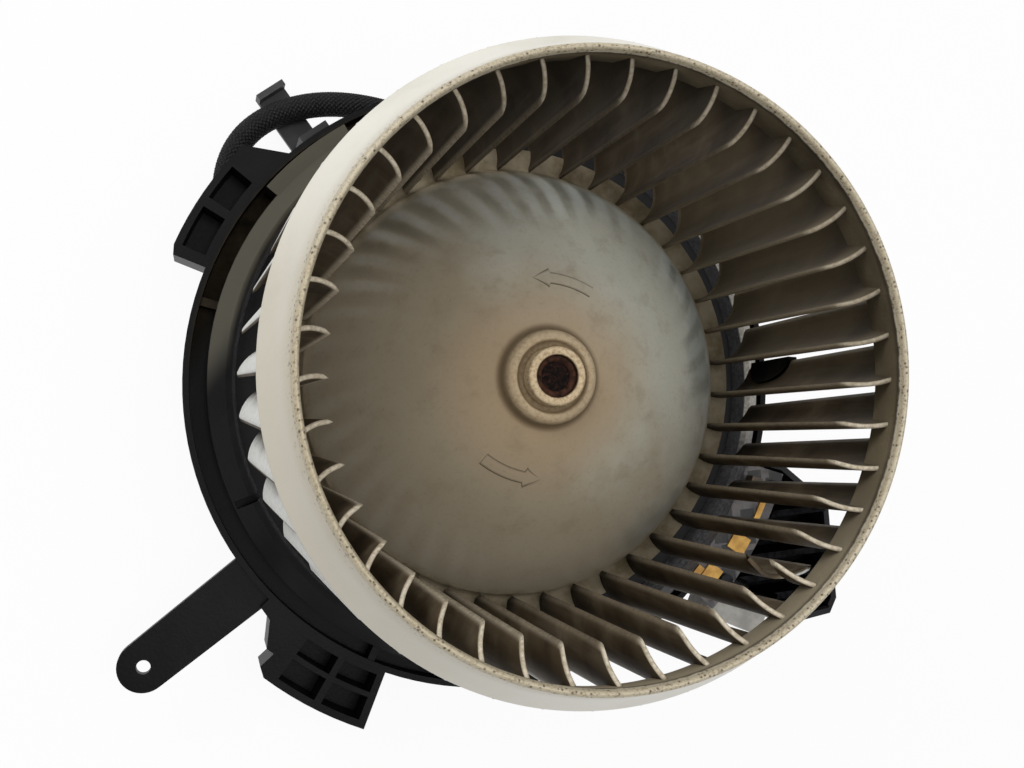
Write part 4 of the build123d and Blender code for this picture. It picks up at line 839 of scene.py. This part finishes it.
def board_material():
    """Circuit board: violet-grey lacquer with black square parts from a cell pattern, dust over it."""
    material, tree, shader, place = new_material("board_lacquer", roughness=0.45)
    cells = put(tree, "ShaderNodeTexVoronoi", {"Vector": place, "Scale": 150.0, "Randomness": 0.7},
                feature="F1", distance="CHEBYCHEV")
    parts = between(tree, cells.outputs["Distance"], 0.4, 0.36)
    colour = blend_colours(tree, parts,
                           ramp(tree, noise(tree, place, 300.0), [(0.3, "#3a3738"), (0.7, "#625d5e")]),
                           tint("#111012"))
    dust = settled_dust(tree, place, patch=120.0, grain=1500.0, amount=0.5)
    colour = layer(tree, colour, dust, 0.3, "#57503f")
    finish(tree, shader, colour, parts, strength=0.3, depth=0.0002)
    return material


def rust_material():
    """Crusty rust in the bore: black pits, brown crust and a few orange grains."""
    material, tree, shader, place = new_material("bore_rust", roughness=0.85, specular=0.2)
    crust = noise(tree, place, 900.0, detail=5.0, rough=0.7)
    colour = ramp(tree, crust, [(0.42, "#080403"), (0.56, "#1f110b"), (0.68, "#4a281a"), (0.82, "#7a4a30")])
    finish(tree, shader, colour, crust, strength=0.8, depth=0.0006)
    return material


def dress(material, *names):
    """Gives a material to CAD nodes or new pieces."""
    for name in names:
        piece = nodes.get(name) or bpy.data.objects[name]
        piece.data.materials.clear()
        piece.data.materials.append(material)


def dress_all():
    """Every piece's finish."""
    dress(ring_material(), "wheel_mouth_ring", "wheel_ring")
    dress(dome_material(), "wheel_dome_and_hub", "wheel_dome", "turning_arrows")
    dress(blade_material(), "wheel_blade_set", "wheel_blades")
    dress(rust_material(), "rust_crust")
    dress(braid_material(), "braided_sleeve", "motor_lead")
    dress(flange_material(), "mounting_flange")
    dress(black_plastic("clip_plastic", "#2a2a2b", "#4a4a4a", dusty=0.3), "cable_clip")
    dress(black_plastic("housing_plastic", "#18181a", "#2b2b30", dusty=0.4), "regulator_housing")
    dress(black_plastic("device_plastic", "#0e0e0f", "#1b1b1d", dusty=0.1), "power_transistors", "brush_card",
          "front_thrust_washer", "rear_thrust_washer")
    dress(dull("pale_shell", "#8e8b85", "#a8a59e", roughness=0.5), "connector_socket")
    dress(dull("black_rubber", "#0c0c0d", "#18181a", roughness=0.75, scale=400.0), "lead_grommet",
          "rubber_dampers", "damper_ring")
    dress(metal("zinc_plate", "#8b8b86", "#b3b2ab", roughness=0.38, rust=0.12), "motor_can", "motor_end_plate",
          "clamp_ring")
    dress(metal("worn_steel", "#6b625a", "#9a918a", roughness=0.4, rust=0.45), "rotor_shaft")
    dress(dull("rusted_sleeve", "#1c100b", "#4a2d1f", roughness=0.85, scale=700.0, grain=3.0, specular=0.2),
          "hub_sleeve")
    dress(metal("spring_steel", "#77757a", "#a5a3a6", roughness=0.3, rust=0.1), "armature_core",
          "bearing_retainers", "magnet_clips", "brush_springs", "clamp_screws")
    dress(metal("dark_screws", "#17171a", "#2c2c2e", roughness=0.5, rust=0.1), "regulator_screws")
    dress(metal("blackened_steel", "#070707", "#121212", roughness=0.45, scale=500.0), "balance_clip")
    dress(metal("oiled_bronze", "#6e4a28", "#94683b", roughness=0.5), "front_bearing", "rear_bearing")
    dress(metal("commutator_copper", "#7d452a", "#b8714a", roughness=0.3, scale=900.0), "commutator",
          "choke_coils")
    dress(windings_material(), "armature_windings")
    dress(dull("ferrite", "#1c1c1f", "#2b2b2f", roughness=0.7), "field_magnets")
    dress(dull("carbon", "#121213", "#1e1e20", roughness=0.55), "carbon_brushes")
    dress(dull("amber_strip", "#b07f35", "#d8a850", roughness=0.5, scale=300.0), "terminal_strips")
    dress(metal("satin_brass", "#a97f3f", "#cfa65f", roughness=0.42, scale=200.0), "connector_pins",
          "brush_holders")
    dress(metal("black_anodised", "#0b0b0c", "#1a1a1c", roughness=0.5, rust=0.1, scale=500.0), "heat_sink")
    dress(board_material(), "circuit_board")
    dress(dull("capacitor_sleeve", "#3a2f22", "#574733", roughness=0.4), "capacitors")


# Floor, light and camera

def lay_floor():
    """Pale floor under the part: white to the camera and to mirrors, and it keeps a soft shadow."""
    half, height = FLOOR_HALF, FLOOR_HEIGHT
    corners = np.array([[-half, -half, height], [half, -half, height], [half, half, height], [-half, half, height]])
    floor = solid_from("floor", corners, np.array([[0, 1, 2, 3]]))
    material = bpy.data.materials.new("floor_white")
    material.use_nodes = True
    tree = material.node_tree
    tree.nodes.clear()
    matt = put(tree, "ShaderNodeBsdfDiffuse", {"Color": (0.8, 0.8, 0.8, 1)}).outputs[0]
    bright = put(tree, "ShaderNodeEmission", {"Color": (1, 1, 1, 1), "Strength": 1.0}).outputs[0]
    path = put(tree, "ShaderNodeLightPath").outputs
    seen = plus(tree, plus(tree, path["Is Camera Ray"], path["Is Glossy Ray"]), path["Is Transmission Ray"])
    share = times(tree, calc(tree, "MINIMUM", seen, 1.0), FLOOR_GLOW)
    both = put(tree, "ShaderNodeMixShader", {0: share, 1: matt, 2: bright}).outputs[0]
    put(tree, "ShaderNodeOutputMaterial", {"Surface": both})
    floor.data.materials.append(material)


def area_light(name, place, size, power):
    """Square soft lamp aimed at the middle of the part."""
    data = bpy.data.lights.new(name, "AREA")
    data.shape = "SQUARE"
    data.size = size
    data.energy = power
    lamp = bpy.data.objects.new(name, data)
    lamp.location = place
    lamp.rotation_euler = (Vector(LAMP_TARGET) - Vector(place)).to_track_quat("-Z", "Y").to_euler()
    bpy.context.scene.collection.objects.link(lamp)


def light_scene():
    """Soft key from above and to the left, a lamp in front of the mouth, and an even white world, which the camera
    sees at full strength."""
    for lamp in LAMPS:
        area_light(*lamp)
    world = bpy.data.worlds.new("studio")
    bpy.context.scene.world = world
    world.use_nodes = True
    tree = world.node_tree
    seen = put(tree, "ShaderNodeLightPath").outputs["Is Camera Ray"]
    strength = plus(tree, WORLD_LIGHT, times(tree, seen, 1 - WORLD_LIGHT))
    feed(tree, tree.nodes["Background"], {"Color": (1, 1, 1, 1), "Strength": strength})


def aim_camera():
    """Camera at the place, turn and lens solved from the photograph: matrix = T(place) R(turn) transposed."""
    data = bpy.data.cameras.new("photo_camera")
    data.lens = CAMERA_LENS
    data.sensor_width = SENSOR_WIDTH
    data.clip_start = 10 * MM
    camera = bpy.data.objects.new("photo_camera", data)
    turn = Vector(CAMERA_TURN)
    to_camera = Matrix.Rotation(turn.length, 3, turn.normalized())
    camera.matrix_world = Matrix.Translation(CAMERA_PLACE) @ to_camera.transposed().to_4x4()
    bpy.context.scene.collection.objects.link(camera)
    bpy.context.scene.camera = camera


# Each new piece: what makes it, its body, the CAD node that it replaces, and its material slot
PIECES = (
    (ring_piece, "rotor", "wheel_ring", "wheel_plastic"),
    (dome_piece, "rotor", "wheel_dome", "wheel_plastic"),
    (blades_piece, "rotor", "wheel_blades", "wheel_plastic"),
    (arrow_piece, "rotor", None, "wheel_plastic"),
    (rust_piece, "rotor", None, "steel"),
    (lead_piece, "housing", "motor_lead", "braid"),
)
for make, body, node, slot in PIECES:
    piece = make()
    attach(piece, body)
    if node:
        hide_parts(node)
dress_all()
lay_floor()
light_scene()
aim_camera()
bpy.context.scene.view_settings.view_transform = "Standard"
